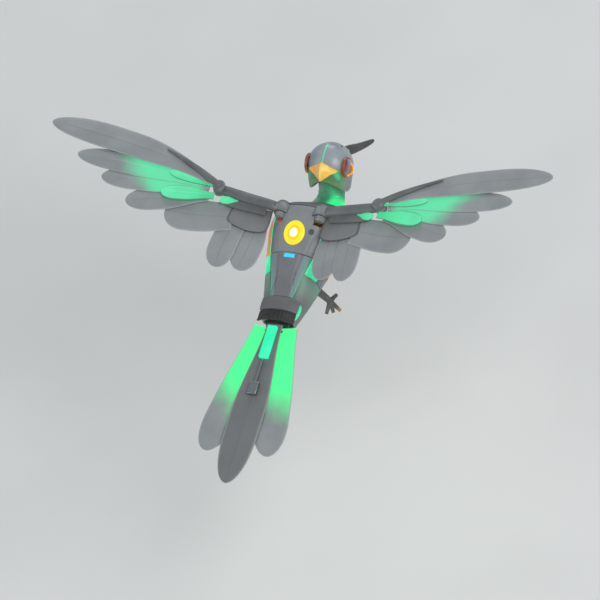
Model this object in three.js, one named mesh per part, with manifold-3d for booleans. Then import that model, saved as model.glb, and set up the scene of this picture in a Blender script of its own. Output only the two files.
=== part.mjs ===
// A mechanical bird decoy with geared flapping wings, in millimetres, +Z up.
// The bird flies along -Y with its tail towards +Y; its own left side is +X. The origin is the centre of
// the flat underside of the belly shoe that it is held by. The head is turned to look back over the tail.
import * as THREE from "three";
import { mergeVertices } from "three/addons/utils/BufferGeometryUtils.js";
import Module from "manifold-3d";

const wasm = await Module();
wasm.setup();

// ---------------------------------------------------------------- driving dimensions
const GAP = 0.4; // clearance between neighbouring pieces
const SKIN = 2.0; // wall of the moulded body shells

// Body sections: station along Y, crown height, keel height and half width.
const BODY = {
  y: [-40, -26, -11, 11, 33, 55, 82, 104, 120],
  top: [44, 63, 82.5, 83, 76.5, 69, 59, 51, 45],
  bottom: [9, 6.3, 5, 4.6, 8, 12.5, 17, 22, 26],
  half: [27, 35, 40, 43, 39.5, 34.5, 28.5, 23.5, 19.5],
  power: 2.2, // exponent of the superelliptic section
};
const BACK_EDGE = 42; // angle from the crown where the back plate ends
const WAIST_Y = 47; // joint between the chest and the rump

// Shoulders and the gear train that ties both wings together.
const HUB = { x: 24, z: 80, radius: 7.6, front: -8, back: 3.6, pin: 3 };
const EAR = { radius: 6.4, width: 2.6 }; // lugs of the body that hold the shoulder pins
const GEAR = { module: 1, front: -4, back: 0, backlash: 0.32 };
const HUB_TEETH = 16;
const IDLER_TEETH = 20;
const PINION_TEETH = 10;
const IDLER_X = 10;
const PINION_X = -13;
const SECTOR = 62; // half angle of the toothed part of a wing's hub
const AXLE = 2; // radius of the idlers' axle pins
const PLATE = { front: -6.8, back: -5 }; // bulkhead that carries the gear train
const MOTOR = { radius: 10, length: 30, shaft: 1.5 };

// Wings: s runs out along the wing from the hub, t forward, n up through the layers of feathers.
const DIHEDRAL = THREE.MathUtils.degToRad(10.5);
const WING_Z = 88; // height of the wing's upper surface over the hub
const LAYER = 1.5; // step from one layer of feathers to the next
const BLADE = 1.05; // thickness of a wing feather
const WRIST = { s: 73, t: 8.5, radius: 7, pin: 2 };

// Tail.
const TAIL = { y: 112, z: 42, droop: THREE.MathUtils.degToRad(6.5), length: 212, blade: 1.4 };
const FAN_PIVOT = { x: 9, y: 20 };

// Head, in its own frame: x across, y towards the beak, z to the crown.
const HEAD = { y: -82, z: 56.5, tilt: THREE.MathUtils.degToRad(42.1) };
const SKULL = { side: 25.3, front: 22, back: 29.7, top: 26, wall: 2.2 };
const NECK = 15.5; // radius of the neck under the head
const NECK_LEAN = THREE.MathUtils.degToRad(21.5); // swivel axis, leaning forward from upright
const CREST = { pivotY: -36, pivotZ: 8, tipY: -122, tipZ: 5, sag: 1.5 };

// Legs.
const HIP = { x: 20, y: 60, z: 25 };
const ANKLE = { x: 25, y: 50.5, z: -12 };

// ---------------------------------------------------------------- geometry helpers
const vec = (x, y, z) => new THREE.Vector3(x, y, z);
const rad = THREE.MathUtils.degToRad;
const { lerp, clamp, smoothstep } = THREE.MathUtils;

// A closed mesh from points and triangles, turned so that its faces point out.
function closedMesh(points, triangles) {
  let volume = 0;
  for (const [a, b, c] of triangles) volume += points[a].dot(points[b].clone().cross(points[c]));
  const order = volume < 0 ? ([a, b, c]) => [a, c, b] : (t) => t;
  const geometry = new THREE.BufferGeometry();
  geometry.setAttribute("position", new THREE.Float32BufferAttribute(points.flatMap((p) => p.toArray()), 3));
  geometry.setIndex(triangles.flatMap(order));
  return geometry;
}

// A sheet with thickness: two grids of points over the same parameters, joined round their edges.
function sheet(outer, inner, us, vs) {
  const points = [];
  const triangles = [];
  const across = vs.length;
  const offset = us.length * across;
  for (const side of [outer, inner]) for (const u of us) for (const v of vs) points.push(side(u, v));
  const at = (i, j, k) => k * offset + i * across + j;
  const quad = (a, b, c, d) => triangles.push([a, b, c], [a, c, d]);
  for (let i = 0; i < us.length - 1; i++)
    for (let j = 0; j < across - 1; j++) {
      quad(at(i, j, 0), at(i + 1, j, 0), at(i + 1, j + 1, 0), at(i, j + 1, 0));
      quad(at(i, j, 1), at(i, j + 1, 1), at(i + 1, j + 1, 1), at(i + 1, j, 1));
    }
  for (let i = 0; i < us.length - 1; i++) {
    quad(at(i, 0, 0), at(i, 0, 1), at(i + 1, 0, 1), at(i + 1, 0, 0));
    quad(at(i, across - 1, 0), at(i + 1, across - 1, 0), at(i + 1, across - 1, 1), at(i, across - 1, 1));
  }
  const last = us.length - 1;
  for (let j = 0; j < across - 1; j++) {
    quad(at(0, j, 0), at(0, j + 1, 0), at(0, j + 1, 1), at(0, j, 1));
    quad(at(last, j, 0), at(last, j, 1), at(last, j + 1, 1), at(last, j + 1, 0));
  }
  return closedMesh(points, triangles);
}

// A solid through closed rings of equal point counts, capped at both ends.
function loft(rings) {
  const points = rings.flat();
  const triangles = [];
  const n = rings[0].length;
  for (let i = 0; i < rings.length - 1; i++)
    for (let j = 0; j < n; j++) {
      const k = (j + 1) % n;
      triangles.push([i * n + j, i * n + k, (i + 1) * n + k], [i * n + j, (i + 1) * n + k, (i + 1) * n + j]);
    }
  for (const [ring, flip] of [[0, true], [rings.length - 1, false]]) {
    const centre = rings[ring].reduce((sum, p) => sum.add(p), vec(0, 0, 0)).divideScalar(n);
    points.push(centre);
    for (let j = 0; j < n; j++) {
      const a = ring * n + j;
      const b = ring * n + ((j + 1) % n);
      triangles.push(flip ? [points.length - 1, b, a] : [points.length - 1, a, b]);
    }
  }
  return closedMesh(points, triangles);
}

// A pipe with a wall: outer and inner rings, open at both ends.
function pipe(outerRings, innerRings) {
  const n = outerRings[0].length;
  const rings = [...outerRings, ...innerRings.slice().reverse()];
  const points = rings.flat();
  const triangles = [];
  for (let i = 0; i < rings.length; i++)
    for (let j = 0; j < n; j++) {
      const next = (i + 1) % rings.length;
      const k = (j + 1) % n;
      triangles.push([i * n + j, i * n + k, next * n + k], [i * n + j, next * n + k, next * n + j]);
    }
  return closedMesh(points, triangles);
}

// An elliptic ring about a centre, spanned by two half axes.
function ring(centre, across, up, count = 12) {
  return Array.from({ length: count }, (_, i) => {
    const a = (i / count) * 2 * Math.PI;
    return centre.clone().addScaledVector(across, Math.cos(a)).addScaledVector(up, Math.sin(a));
  });
}

// A shape drawn in X and Z, as a prism from one Y to another.
function prismY(shape, from, to, curveSegments = 6) {
  const geometry = new THREE.ExtrudeGeometry(shape, { depth: to - from, bevelEnabled: false, curveSegments });
  return geometry.rotateX(Math.PI / 2).translate(0, to, 0);
}

const cylinderY = (x, z, radius, from, to, sides = 20) =>
  new THREE.CylinderGeometry(radius, radius, to - from, sides).translate(x, (from + to) / 2, z);
const cylinderX = (y, z, radius, from, to, sides = 16) =>
  new THREE.CylinderGeometry(radius, radius, to - from, sides)
    .rotateZ(Math.PI / 2)
    .translate((from + to) / 2, y, z);
const cylinderZ = (x, y, radius, from, to, sides = 16) =>
  new THREE.CylinderGeometry(radius, radius, to - from, sides)
    .rotateX(Math.PI / 2)
    .translate(x, y, (from + to) / 2);
const block = (x, y, z) =>
  new THREE.BoxGeometry(x[1] - x[0], y[1] - y[0], z[1] - z[0]).translate(
    (x[0] + x[1]) / 2, (y[0] + y[1]) / 2, (z[0] + z[1]) / 2);

function toSolid(geometry) {
  const bare = new THREE.BufferGeometry();
  bare.setAttribute("position", geometry.getAttribute("position").clone());
  if (geometry.index) bare.setIndex(geometry.index.clone());
  const merged = mergeVertices(bare, 1e-4);
  return new wasm.Manifold(
    new wasm.Mesh({
      numProp: 3,
      vertProperties: new Float32Array(merged.attributes.position.array),
      triVerts: new Uint32Array(merged.index.array),
    }),
  );
}

function toGeometry(solid) {
  const mesh = solid.getMesh();
  const geometry = new THREE.BufferGeometry();
  geometry.setAttribute("position", new THREE.BufferAttribute(new Float32Array(mesh.vertProperties), 3));
  geometry.setIndex(new THREE.BufferAttribute(new Uint32Array(mesh.triVerts), 1));
  return geometry;
}

const join = (...geometries) => toGeometry(geometries.map(toSolid).reduce((a, b) => a.add(b)));
const cut = (body, ...tools) => toGeometry(tools.map(toSolid).reduce((a, b) => a.subtract(b), toSolid(body)));

// Mirrors a geometry through the YZ plane, for the bird's right side.
function mirrored(geometry) {
  const copy = geometry.clone().applyMatrix4(new THREE.Matrix4().makeScale(-1, 1, 1));
  const order = copy.index ? Array.from(copy.index.array) : [...Array(copy.attributes.position.count).keys()];
  for (let i = 0; i < order.length; i += 3) [order[i + 1], order[i + 2]] = [order[i + 2], order[i + 1]];
  copy.setIndex(order);
  return copy;
}

const steps = (from, to, count) => Array.from({ length: count + 1 }, (_, i) => lerp(from, to, i / count));

// A smooth curve through a table of stations (cubic, with slopes from the neighbours).
function through(xs, ys, x) {
  const last = xs.length - 1;
  const i = clamp(xs.findIndex((v) => v > x) - 1, 0, last - 1);
  const k = x >= xs[last] ? last - 1 : i;
  const slope = (j) => {
    const a = Math.max(j - 1, 0);
    const b = Math.min(j + 1, last);
    return (ys[b] - ys[a]) / (xs[b] - xs[a]);
  };
  const w = xs[k + 1] - xs[k];
  const u = clamp((x - xs[k]) / w, 0, 1);
  return (
    (2 * u ** 3 - 3 * u ** 2 + 1) * ys[k] +
    (u ** 3 - 2 * u ** 2 + u) * w * slope(k) +
    (3 * u ** 2 - 2 * u ** 3) * ys[k + 1] +
    (u ** 3 - u ** 2) * w * slope(k + 1)
  );
}

// ---------------------------------------------------------------- materials
const finish = (color, roughness, metalness = 0, emissive = 0x000000) =>
  new THREE.MeshStandardMaterial({ color, roughness, metalness, emissive });
const material = {
  shell: finish(0x94989b, 0.55),
  dark: finish(0x4c4e50, 0.5),
  feather: finish(0x969b9e, 0.6),
  orange: finish(0xd9743a, 0.45),
  beak: finish(0xf0b045, 0.4),
  green: finish(0x4cf0a0, 0.4, 0, 0x2ac080),
  lamp: finish(0xffd640, 0.3, 0, 0xffb000),
  blue: finish(0x7fe0f8, 0.3, 0, 0x30b0e0),
  metal: finish(0xa8acae, 0.3, 0.9),
  gear: finish(0xd8d4c6, 0.5),
};

const bird = new THREE.Group();
function place(name, geometry, look, parent = bird) {
  const mesh = new THREE.Mesh(geometry, look);
  mesh.name = name;
  parent.add(mesh);
  return mesh;
}
// A piece and its mirror image, named for the bird's left and right.
function placePair(name, geometry, look) {
  place(`left_${name}`, geometry, look);
  place(`right_${name}`, mirrored(geometry), look);
}

// ---------------------------------------------------------------- body shells
// A point of the body's skin, by station, angle from the crown in degrees, and depth under the surface.
function bodyPoint(y, angle, depth) {
  const top = through(BODY.y, BODY.top, y) - depth;
  const bottom = through(BODY.y, BODY.bottom, y) + depth;
  const half = through(BODY.y, BODY.half, y) - depth;
  const a = rad(angle);
  const bow = (v) => Math.sign(v) * Math.abs(v) ** (2 / BODY.power);
  return vec(half * bow(Math.sin(a)), y, (top + bottom) / 2 + ((top - bottom) / 2) * bow(Math.cos(a)));
}

// A piece of the skin between two stations and two angles; the angles may change along the body.
function bodySheet(ys, fromAngle, toAngle, depth, wall, pieces) {
  const span = (y, f) => lerp(fromAngle(y), toAngle(y), f);
  return sheet(
    (y, f) => bodyPoint(y, span(y, f), depth),
    (y, f) => bodyPoint(y, span(y, f), depth + wall),
    ys,
    steps(0, 1, pieces),
  );
}
const fixed = (value) => () => value;

// The rump plate narrows towards the tail.
const rumpEdge = (y) => lerp(40, 29, clamp((y - WAIST_Y) / 48, 0, 1));
const hubClearance = [1, -1].map((side) =>
  cylinderY(side * HUB.x, HUB.z, HUB.radius + 2, HUB.front - GAP, HUB.back + GAP, 24));
const pinHead = HUB.back + GAP + EAR.width; // station of the seat of the shoulder pins' heads
const pinBores = [1, -1].flatMap((side) => [
  cylinderY(side * HUB.x, HUB.z, HUB.pin + 0.1, -40, 40),
  cylinderY(side * HUB.x, HUB.z, HUB.pin + 2.4, pinHead, pinHead + 10),
]);
// Lugs on both shoulders, with a foot that sinks into the shell.
const shoulderEars = (from) =>
  [1, -1].flatMap((side) => [
    cylinderY(side * HUB.x, HUB.z, EAR.radius, from, from + EAR.width),
    block([side * HUB.x - 5, side * HUB.x + 5], [from, from + EAR.width], [HUB.z - 7, HUB.z]),
  ]);

const LAMP = { y: 26, halfX: 12, halfY: 14 };
const lampCentre = bodyPoint(LAMP.y, 0, 0);
const lampSlope = Math.atan2(bodyPoint(LAMP.y + 5, 0, 0).z - bodyPoint(LAMP.y - 5, 0, 0).z, 10);

// An oval prism standing square to the back at the lamp.
function lampOval(grow, low, high) {
  const oval = new THREE.CylinderGeometry(1, 1, high - low, 24);
  oval.rotateX(Math.PI / 2).scale(LAMP.halfX + grow, LAMP.halfY + grow, 1).translate(0, 0, (high + low) / 2);
  return oval.rotateX(lampSlope).translate(0, lampCentre.y, lampCentre.z);
}

const BUTTON = { angle: 24, y: 22, radius: 3 };
const buttonSeat = bodyPoint(BUTTON.y, -BUTTON.angle, 0);
const buttonAxis = bodyPoint(BUTTON.y, -BUTTON.angle, -10).sub(buttonSeat).normalize();
function buttonRod(radius, low, high) {
  const rod = new THREE.CylinderGeometry(radius, radius, high - low, 16).translate(0, (low + high) / 2, 0);
  rod.applyQuaternion(new THREE.Quaternion().setFromUnitVectors(vec(0, 1, 0), buttonAxis));
  return rod.translate(buttonSeat.x, buttonSeat.y, buttonSeat.z);
}

const COLLAR_Y = -8.2; // joint between the shoulder collar and the back plate
const backRows = steps(COLLAR_Y + GAP, WAIST_Y, 6);
const backPlate = bodySheet(backRows, fixed(-BACK_EDGE), fixed(BACK_EDGE), -0.8, 2.6, 8);
place(
  "back_plate",
  cut(
    join(backPlate, ...shoulderEars(HUB.back + GAP)),
    ...hubClearance,
    ...pinBores,
    lampOval(GAP, -4, 4),
    buttonRod(BUTTON.radius + GAP, -5, 5),
  ),
  material.shell,
);
const collar = bodySheet(steps(-39.5, COLLAR_Y, 5), fixed(-BACK_EDGE), fixed(BACK_EDGE), -0.8, 2.6, 8);
place(
  "shoulder_collar",
  cut(join(collar, ...shoulderEars(HUB.front - GAP - EAR.width)), ...hubClearance, ...pinBores),
  material.dark,
);
placePair(
  "shoulder_pin",
  join(
    cylinderY(HUB.x, HUB.z, HUB.pin, HUB.front - GAP - EAR.width, pinHead + 0.5),
    cylinderY(HUB.x, HUB.z, HUB.pin + 2, pinHead + 0.02, pinHead + 1.8),
  ),
  material.metal,
);
place("back_lamp", lampOval(0, -2.5, 2.2), material.lamp);
place("power_button", buttonRod(BUTTON.radius, -2.6, 2.4), material.dark);

const rumpFront = WAIST_Y + GAP + 0.4;
const LED = { half: 6, y: [WAIST_Y + 1.5, WAIST_Y + 6] };
const ledTop = bodyPoint(LED.y[0] + 2, 0, 0).z;
place(
  "rump_plate",
  cut(
    bodySheet(steps(rumpFront, 95, 5), (y) => -rumpEdge(y), rumpEdge, -1, 2.6, 6),
    block([-LED.half - GAP, LED.half + GAP], [LED.y[0] - GAP, LED.y[1] + GAP], [ledTop - 10, ledTop + 10]),
  ),
  material.shell,
);
place("status_light", block([-LED.half, LED.half], LED.y, [ledTop - 2.2, ledTop + 1]), material.blue);

// Glowing side panels behind the wings, between the back and the flanks.
const SIDE_LIGHT = { end: 66, low: 75 };
placePair(
  "side_light",
  bodySheet(steps(rumpFront, SIDE_LIGHT.end, 2), (y) => rumpEdge(y) + 1.6, fixed(SIDE_LIGHT.low), 0, SKIN, 3),
  material.green,
);

// Flanks run back from the side panels to the tail.
const FLANK_LOW = 121;
const BODY_END = 119;
const legSlots = [1, -1].map((side) =>
  block([Math.min(side * 13, side * 31), Math.max(side * 13, side * 31)], [48.5, 74], [0, 27]));
placePair(
  "flank",
  cut(
    bodySheet(steps(SIDE_LIGHT.end + 1, BODY_END, 5), (y) => rumpEdge(y) + 1.6, fixed(FLANK_LOW), 0, SKIN, 5),
    ...legSlots,
  ),
  material.shell,
);

// The breast wraps the chest from one edge of the back plate round the keel to the other.
const breastEdge = BACK_EDGE + 1.6;
place(
  "breast_shell",
  cut(
    bodySheet(steps(-39.5, WAIST_Y, 7), fixed(breastEdge), fixed(360 - breastEdge), 0, SKIN, 16),
    ...hubClearance,
  ),
  material.orange,
);

const DOOR = { y: [77, 108], half: 29 }; // battery door: stations, and angle to each side of the keel
const bellyEdge = (y) => (y <= SIDE_LIGHT.end ? SIDE_LIGHT.low + 1.4 : FLANK_LOW + 1.6);
const bellyStations = [rumpFront, 56, SIDE_LIGHT.end, SIDE_LIGHT.end + 0.5, 80, 94, 107, BODY_END];
place(
  "belly_shell",
  cut(
    bodySheet(bellyStations, bellyEdge, (y) => 360 - bellyEdge(y), 0, SKIN, 12),
    block([-12.4, 12.4], [DOOR.y[0] - GAP, DOOR.y[1] + GAP], [0, 36]),
    ...legSlots,
  ),
  material.shell,
);
// The door fills the opening, between two straight sides.
const doorSheet = bodySheet(steps(...DOOR.y, 3), fixed(180 - 50), fixed(180 + 50), 0, SKIN, 6);
const doorFrame = [
  block([-60, -12], [60, 120], [0, 60]),
  block([12, 60], [60, 120], [0, 60]),
];
place("battery_door", cut(doorSheet, ...doorFrame), material.dark);

// Belly shoe: a flanged foot that a stake head or a stand slides onto.
const SHOE = { halfX: 15, halfY: 13, plate: 2.4, neckX: 10, top: 4.2 };
place(
  "mount_shoe",
  join(
    block([-SHOE.halfX, SHOE.halfX], [-SHOE.halfY, SHOE.halfY], [0, SHOE.plate]),
    block([-SHOE.neckX, SHOE.neckX], [-SHOE.halfY, SHOE.halfY], [SHOE.plate - 0.5, SHOE.top]),
  ),
  material.metal,
);

// Tail cowl: a flared hood over the tail hinge.
const COWL_EDGE = 54; // angle from the crown where the cowl ends
const cowlFlare = (y) => -0.9 - 4.2 * smoothstep(y, 100, 124);
place(
  "tail_cowl",
  sheet(
    (y, a) => bodyPoint(y, a, cowlFlare(y) - 1.8),
    (y, a) => bodyPoint(y, a, cowlFlare(y)),
    steps(96, 124, 4),
    steps(-COWL_EDGE, COWL_EDGE, 8),
  ),
  material.dark,
);

// ---------------------------------------------------------------- gear train and its bulkhead
const pitchRadius = (teeth) => (teeth * GEAR.module) / 2;
// How far below the first gear the second one sits, at the right centre distance.
const meshDrop = (teethA, teethB, across) =>
  Math.sqrt((pitchRadius(teethA) + pitchRadius(teethB)) ** 2 - across ** 2);
const idlerZ = HUB.z - meshDrop(HUB_TEETH, IDLER_TEETH, HUB.x - IDLER_X);
const pinionZ = idlerZ - meshDrop(IDLER_TEETH, PINION_TEETH, PINION_X + IDLER_X);

// A spur gear outline with involute flanks, thinned for backlash; a tooth is centred on the angle phase.
function gearShape(teeth, phase, bore) {
  const pitch = pitchRadius(teeth);
  const base = pitch * Math.cos(rad(20));
  const root = pitch - 1.2 * GEAR.module;
  const tip = pitch + 0.85 * GEAR.module;
  const involute = (r) => {
    const t = Math.sqrt(Math.max((r / base) ** 2 - 1, 0));
    return t - Math.atan(t);
  };
  const halfTooth = Math.PI / (2 * teeth) - GEAR.backlash / 2 / pitch;
  const half = (r) => halfTooth + involute(pitch) - involute(r);
  const flank = [Math.max(base, root), pitch, tip];
  const outline = [];
  for (let i = 0; i < teeth; i++) {
    const centre = phase + (i / teeth) * 2 * Math.PI;
    const add = (r, a) => outline.push(new THREE.Vector2(r * Math.cos(centre + a), r * Math.sin(centre + a)));
    add(root, -half(flank[0]) - 0.01);
    flank.forEach((r) => add(r, -half(r)));
    flank.slice().reverse().forEach((r) => add(r, half(r)));
    add(root, half(flank[0]) + 0.01);
  }
  const shape = new THREE.Shape(outline);
  if (bore) shape.holes.push(new THREE.Path().absarc(0, 0, bore, 0, 2 * Math.PI, true));
  return shape;
}

// The phase of a gear at b that meshes with a gear at a.
function meshingPhase(a, b) {
  const line = Math.atan2(b.z - a.z, b.x - a.x);
  const offset = ((line - a.phase) * a.teeth) / (2 * Math.PI);
  return line + Math.PI - ((0.5 - offset) * 2 * Math.PI) / b.teeth;
}
const idlerLeft = { x: IDLER_X, z: idlerZ, teeth: IDLER_TEETH, phase: Math.PI };
const hubLeft = { x: HUB.x, z: HUB.z, teeth: HUB_TEETH };
const leftHubPhase = meshingPhase(idlerLeft, hubLeft);
const idlerRight = { x: -IDLER_X, z: idlerZ, teeth: IDLER_TEETH };
idlerRight.phase = meshingPhase(idlerLeft, idlerRight);
const rightHubPhase = meshingPhase(idlerRight, { x: -HUB.x, z: HUB.z, teeth: HUB_TEETH });
const pinion = { x: PINION_X, z: pinionZ, teeth: PINION_TEETH };
pinion.phase = meshingPhase(idlerRight, pinion);

const gearBody = (gear, bore) =>
  prismY(gearShape(gear.teeth, gear.phase, bore), GEAR.front, GEAR.back, 4).translate(gear.x, 0, gear.z);
place("left_idler_gear", gearBody(idlerLeft, AXLE + 0.3), material.gear);
place("right_idler_gear", gearBody(idlerRight, AXLE + 0.3), material.gear);
place("drive_pinion", gearBody(pinion, MOTOR.shaft + 0.3), material.metal);

// The bulkhead carries the idlers' axle pins and a tray for the motor, whose shaft passes below the idlers.
const plateShape = new THREE.Shape();
plateShape.moveTo(-24, 40);
[[24, 40], [24, 66], [13, 76], [-13, 76], [-24, 66]].forEach(([x, z]) => plateShape.lineTo(x, z));
const motorFront = GEAR.back + 1;
const CRADLE = { half: 9, low: 40 }; // the block under the motor
place(
  "bulkhead",
  join(
    prismY(plateShape, PLATE.front, PLATE.back),
    ...[-1, 1].map((side) => cylinderY(side * IDLER_X, idlerZ, AXLE, PLATE.front, GEAR.back + 1, 12)),
    block(
      [PINION_X - CRADLE.half, PINION_X + CRADLE.half],
      [PLATE.front, motorFront + MOTOR.length],
      [CRADLE.low, pinionZ - MOTOR.radius - GAP],
    ),
  ),
  material.metal,
);
place(
  "wing_motor",
  join(
    cylinderY(PINION_X, pinionZ, MOTOR.radius, motorFront, motorFront + MOTOR.length, 24),
    cylinderY(PINION_X, pinionZ, MOTOR.shaft, GEAR.front - 0.3, motorFront + 1, 12),
  ),
  material.metal,
);

// ---------------------------------------------------------------- neck and head
const swivel = vec(0, -Math.sin(NECK_LEAN), Math.cos(NECK_LEAN));
const headCentre = vec(0, HEAD.y, HEAD.z);
const onSwivel = (depth) => headCentre.clone().addScaledVector(swivel, -depth);
const squareToSwivel = vec(0, Math.cos(NECK_LEAN), Math.sin(NECK_LEAN));

// Neck rings from the chest opening to the head, each through its highest and lowest point.
function neckRings(wall) {
  const swept = (high, low, half) => {
    const centre = high.clone().add(low).multiplyScalar(0.5);
    const up = high.clone().sub(centre);
    up.setLength(up.length() - wall);
    return ring(centre, vec(half - wall, 0, 0), up, 20);
  };
  const column = (depth) =>
    ring(onSwivel(depth), vec(NECK - wall, 0, 0), squareToSwivel.clone().multiplyScalar(NECK - wall), 20);
  return [
    swept(vec(0, -40.5, 41), vec(0, -40.5, 10), 25),
    swept(vec(0, -48, 37.5), vec(0, -54, 13), 19.5),
    swept(vec(0, -55.5, 34.5), vec(0, -71, 20.5), 15.8),
    column(18),
    column(10),
  ];
}
place("neck_sleeve", pipe(neckRings(0), neckRings(SKIN)), material.green);

const alongSwivel = (radius, from, to, sides = 18) =>
  new THREE.CylinderGeometry(radius, radius, to - from, sides)
    .translate(0, -(from + to) / 2, 0)
    .applyQuaternion(new THREE.Quaternion().setFromUnitVectors(vec(0, 1, 0), swivel))
    .translate(0, HEAD.y, HEAD.z);
place("neck_post", join(alongSwivel(8, 16, 24), alongSwivel(5, 2, 17)), material.metal);

const head = new THREE.Group();
head.position.set(0, HEAD.y, HEAD.z);
head.rotation.x = HEAD.tilt;
bird.add(head);

// Height of the helmet's lower rim round the head: chin in front, cheeks low at the sides, nape behind.
function rimHeight(azimuth) {
  const forward = Math.cos(azimuth);
  return lerp(-27, forward > 0 ? -15 : -13, forward ** 2);
}
// The skull by azimuth from the beak and by fraction from the crown to the rim.
function skullPoint(azimuth, f, wall) {
  const bend = Math.min(f / 0.6, 1) * (Math.PI / 2);
  const drop = Math.max((f - 0.6) / 0.4, 0);
  const z = (SKULL.top - wall) * Math.cos(bend) + drop * rimHeight(azimuth);
  const taper = Math.sin(bend) * (1 - 0.1 * drop ** 1.5);
  const reach = Math.cos(azimuth) > 0 ? SKULL.front : SKULL.back;
  return vec(
    (SKULL.side - wall) * Math.sin(azimuth) * taper,
    (reach - wall) * Math.cos(azimuth) * taper,
    z,
  );
}
function skullShell() {
  const outerRows = [0.05, 0.25, 0.38, 0.5, 0.6, 0.75, 0.88, 1];
  const around = 24;
  const row = (f, wall) =>
    Array.from({ length: around }, (_, i) => skullPoint((i / around) * 2 * Math.PI, f, wall));
  const innerRows = [...outerRows].reverse();
  return loft([...outerRows.map((f) => row(f, 0)), ...innerRows.map((f) => row(f, SKULL.wall))]);
}
// The floor of the head turns on the neck post; a cross rib ties it to the sides.
const FLOOR = 8.5;
const aboutSwivel = (geometry) => geometry.rotateX(NECK_LEAN - HEAD.tilt);
const headFloor = aboutSwivel(
  join(
    cylinderZ(0, 0, NECK, -FLOOR - 1, -FLOOR + 1, 20),
    block([-23.4, 23.4], [-3, 3], [-FLOOR - 1, -FLOOR + 1]),
  ),
);
const floorHole = aboutSwivel(cylinderZ(0, 0, 5.4, -FLOOR - 2, -FLOOR + 2));
const EAR_X = 5.2; // the crest ears stand this far from the middle
const crestEars = [-EAR_X, EAR_X].map((x) =>
  block([x - 0.9, x + 0.9], [CREST.pivotY - 3.5, -26.5], [CREST.pivotZ - 3.5, CREST.pivotZ + 3.5]));
place("head_shell", cut(join(skullShell(), headFloor, ...crestEars), floorHole), material.shell, head);

// Beak: a ridged upper mandible whose corners wrap the face, and a lower mandible hinged under it.
const beakTop = vec(0, 23.4, 8.2);
const beakTip = vec(0, 28.8, -11.8);
const beakCorner = vec(16.5, 18.9, -0.8);
const flipX = (p) => vec(-p.x, p.y, p.z);
place(
  "upper_beak",
  closedMesh(
    [beakTop, vec(0, 28.8, -0.5), beakTip, beakCorner, flipX(beakCorner), vec(0, 23.2, -5.5)],
    [[0, 1, 3], [0, 4, 1], [1, 2, 3], [1, 4, 2], [3, 2, 5], [2, 4, 5], [0, 3, 5], [0, 5, 4]],
  ),
  material.beak,
  head,
);
const jawCorner = vec(9, 20.4, -6.2);
place(
  "lower_beak",
  closedMesh(
    [vec(0, 22.9, -7.2), vec(0, 26.4, -12.8), jawCorner, flipX(jawCorner), vec(0, 21, -13)],
    [[0, 1, 2], [0, 3, 1], [1, 4, 2], [1, 3, 4], [0, 2, 4], [0, 4, 3]],
  ),
  material.beak,
  head,
);
// Eyes: blunt cones set on the sides of the skull.
for (const [name, side] of [["left_eye", -1], ["right_eye", 1]])
  place(
    name,
    loft([
      ring(vec(side * 25.6, 5.5, 1.5), vec(0, 10.5, 0), vec(0, 0, 11.5), 14),
      ring(vec(side * 26.6, 5.5, 1.3), vec(0, 8.5, 0), vec(0, 0, 9.5), 14),
      ring(vec(side * 28.6, 2, -2), vec(0, 1.5, 0), vec(0, 0, 2), 14),
    ]),
    material.orange,
    head,
  );
// Crest: a long swept plume that tips on a pin between the ears of the skull.
const crestRing = (f, height, width) =>
  ring(
    vec(
      0,
      lerp(CREST.pivotY, CREST.tipY, f),
      lerp(CREST.pivotZ, CREST.tipZ, f) - CREST.sag * Math.sin(Math.PI * f),
    ),
    vec(width, 0, 0),
    vec(0, 0, height),
    12,
  );
place(
  "crest",
  join(
    cylinderX(CREST.pivotY, CREST.pivotZ, 5.2, -3.8, 3.8),
    loft([
      crestRing(0.02, 5, 3.6),
      crestRing(0.2, 5.9, 3.5),
      crestRing(0.5, 4.8, 2.9),
      crestRing(0.8, 3.5, 2.2),
      crestRing(0.96, 2.2, 1.5),
      crestRing(1, 0.8, 0.6),
    ]),
  ),
  material.dark,
  head,
);

// ---------------------------------------------------------------- wings
// A point of the wing in the body's frame. The inner trailing feathers droop and the outer wing is washed out.
function wingPoint(s, t, n) {
  const inner = 1 - smoothstep(s, 60, 130);
  const droop = -4 * inner * (Math.max(0, -t - 30) / 50) ** 2;
  const washout = -0.09 * t * smoothstep(s, 90, 200);
  const lift = n + droop + washout;
  return vec(
    HUB.x + s * Math.cos(DIHEDRAL) - n * Math.sin(DIHEDRAL),
    -t,
    WING_Z + s * Math.sin(DIHEDRAL) + lift * Math.cos(DIHEDRAL),
  );
}

// Width of a feather along its length: it opens from the quill, runs full and ends in a round tip.
function featherWidth(f, quill) {
  const open = lerp(quill, 1, smoothstep(f, 0, 0.6));
  const tip = clamp((f - 0.72) / 0.28, 0, 1);
  return open * Math.sqrt(Math.max(1 - tip ** 2.2, 0.004));
}

// A feather in a plane given by a mapping: its spine is a quadratic curve from quill to tip.
function feather(map, { root, bend, tip, half, quill = 0.4, layer = 0, camber = 0.4 }, blade = BLADE) {
  const spine = new THREE.QuadraticBezierCurve(
    new THREE.Vector2(...root), new THREE.Vector2(...bend), new THREE.Vector2(...tip));
  const point = (f, v, drop) => {
    const centre = spine.getPoint(f);
    const along = spine.getTangent(f);
    const width = half * featherWidth(f, quill);
    return map(
      centre.x + along.y * v * width,
      centre.y - along.x * v * width,
      -layer * LAYER - camber * v * v - drop,
    );
  };
  const lengths = [0, 0.15, 0.35, 0.55, 0.72, 0.82, 0.9, 0.96, 1];
  return sheet((f, v) => point(f, v, 0), (f, v) => point(f, v, blade), lengths, [-1, 0, 1]);
}

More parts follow.
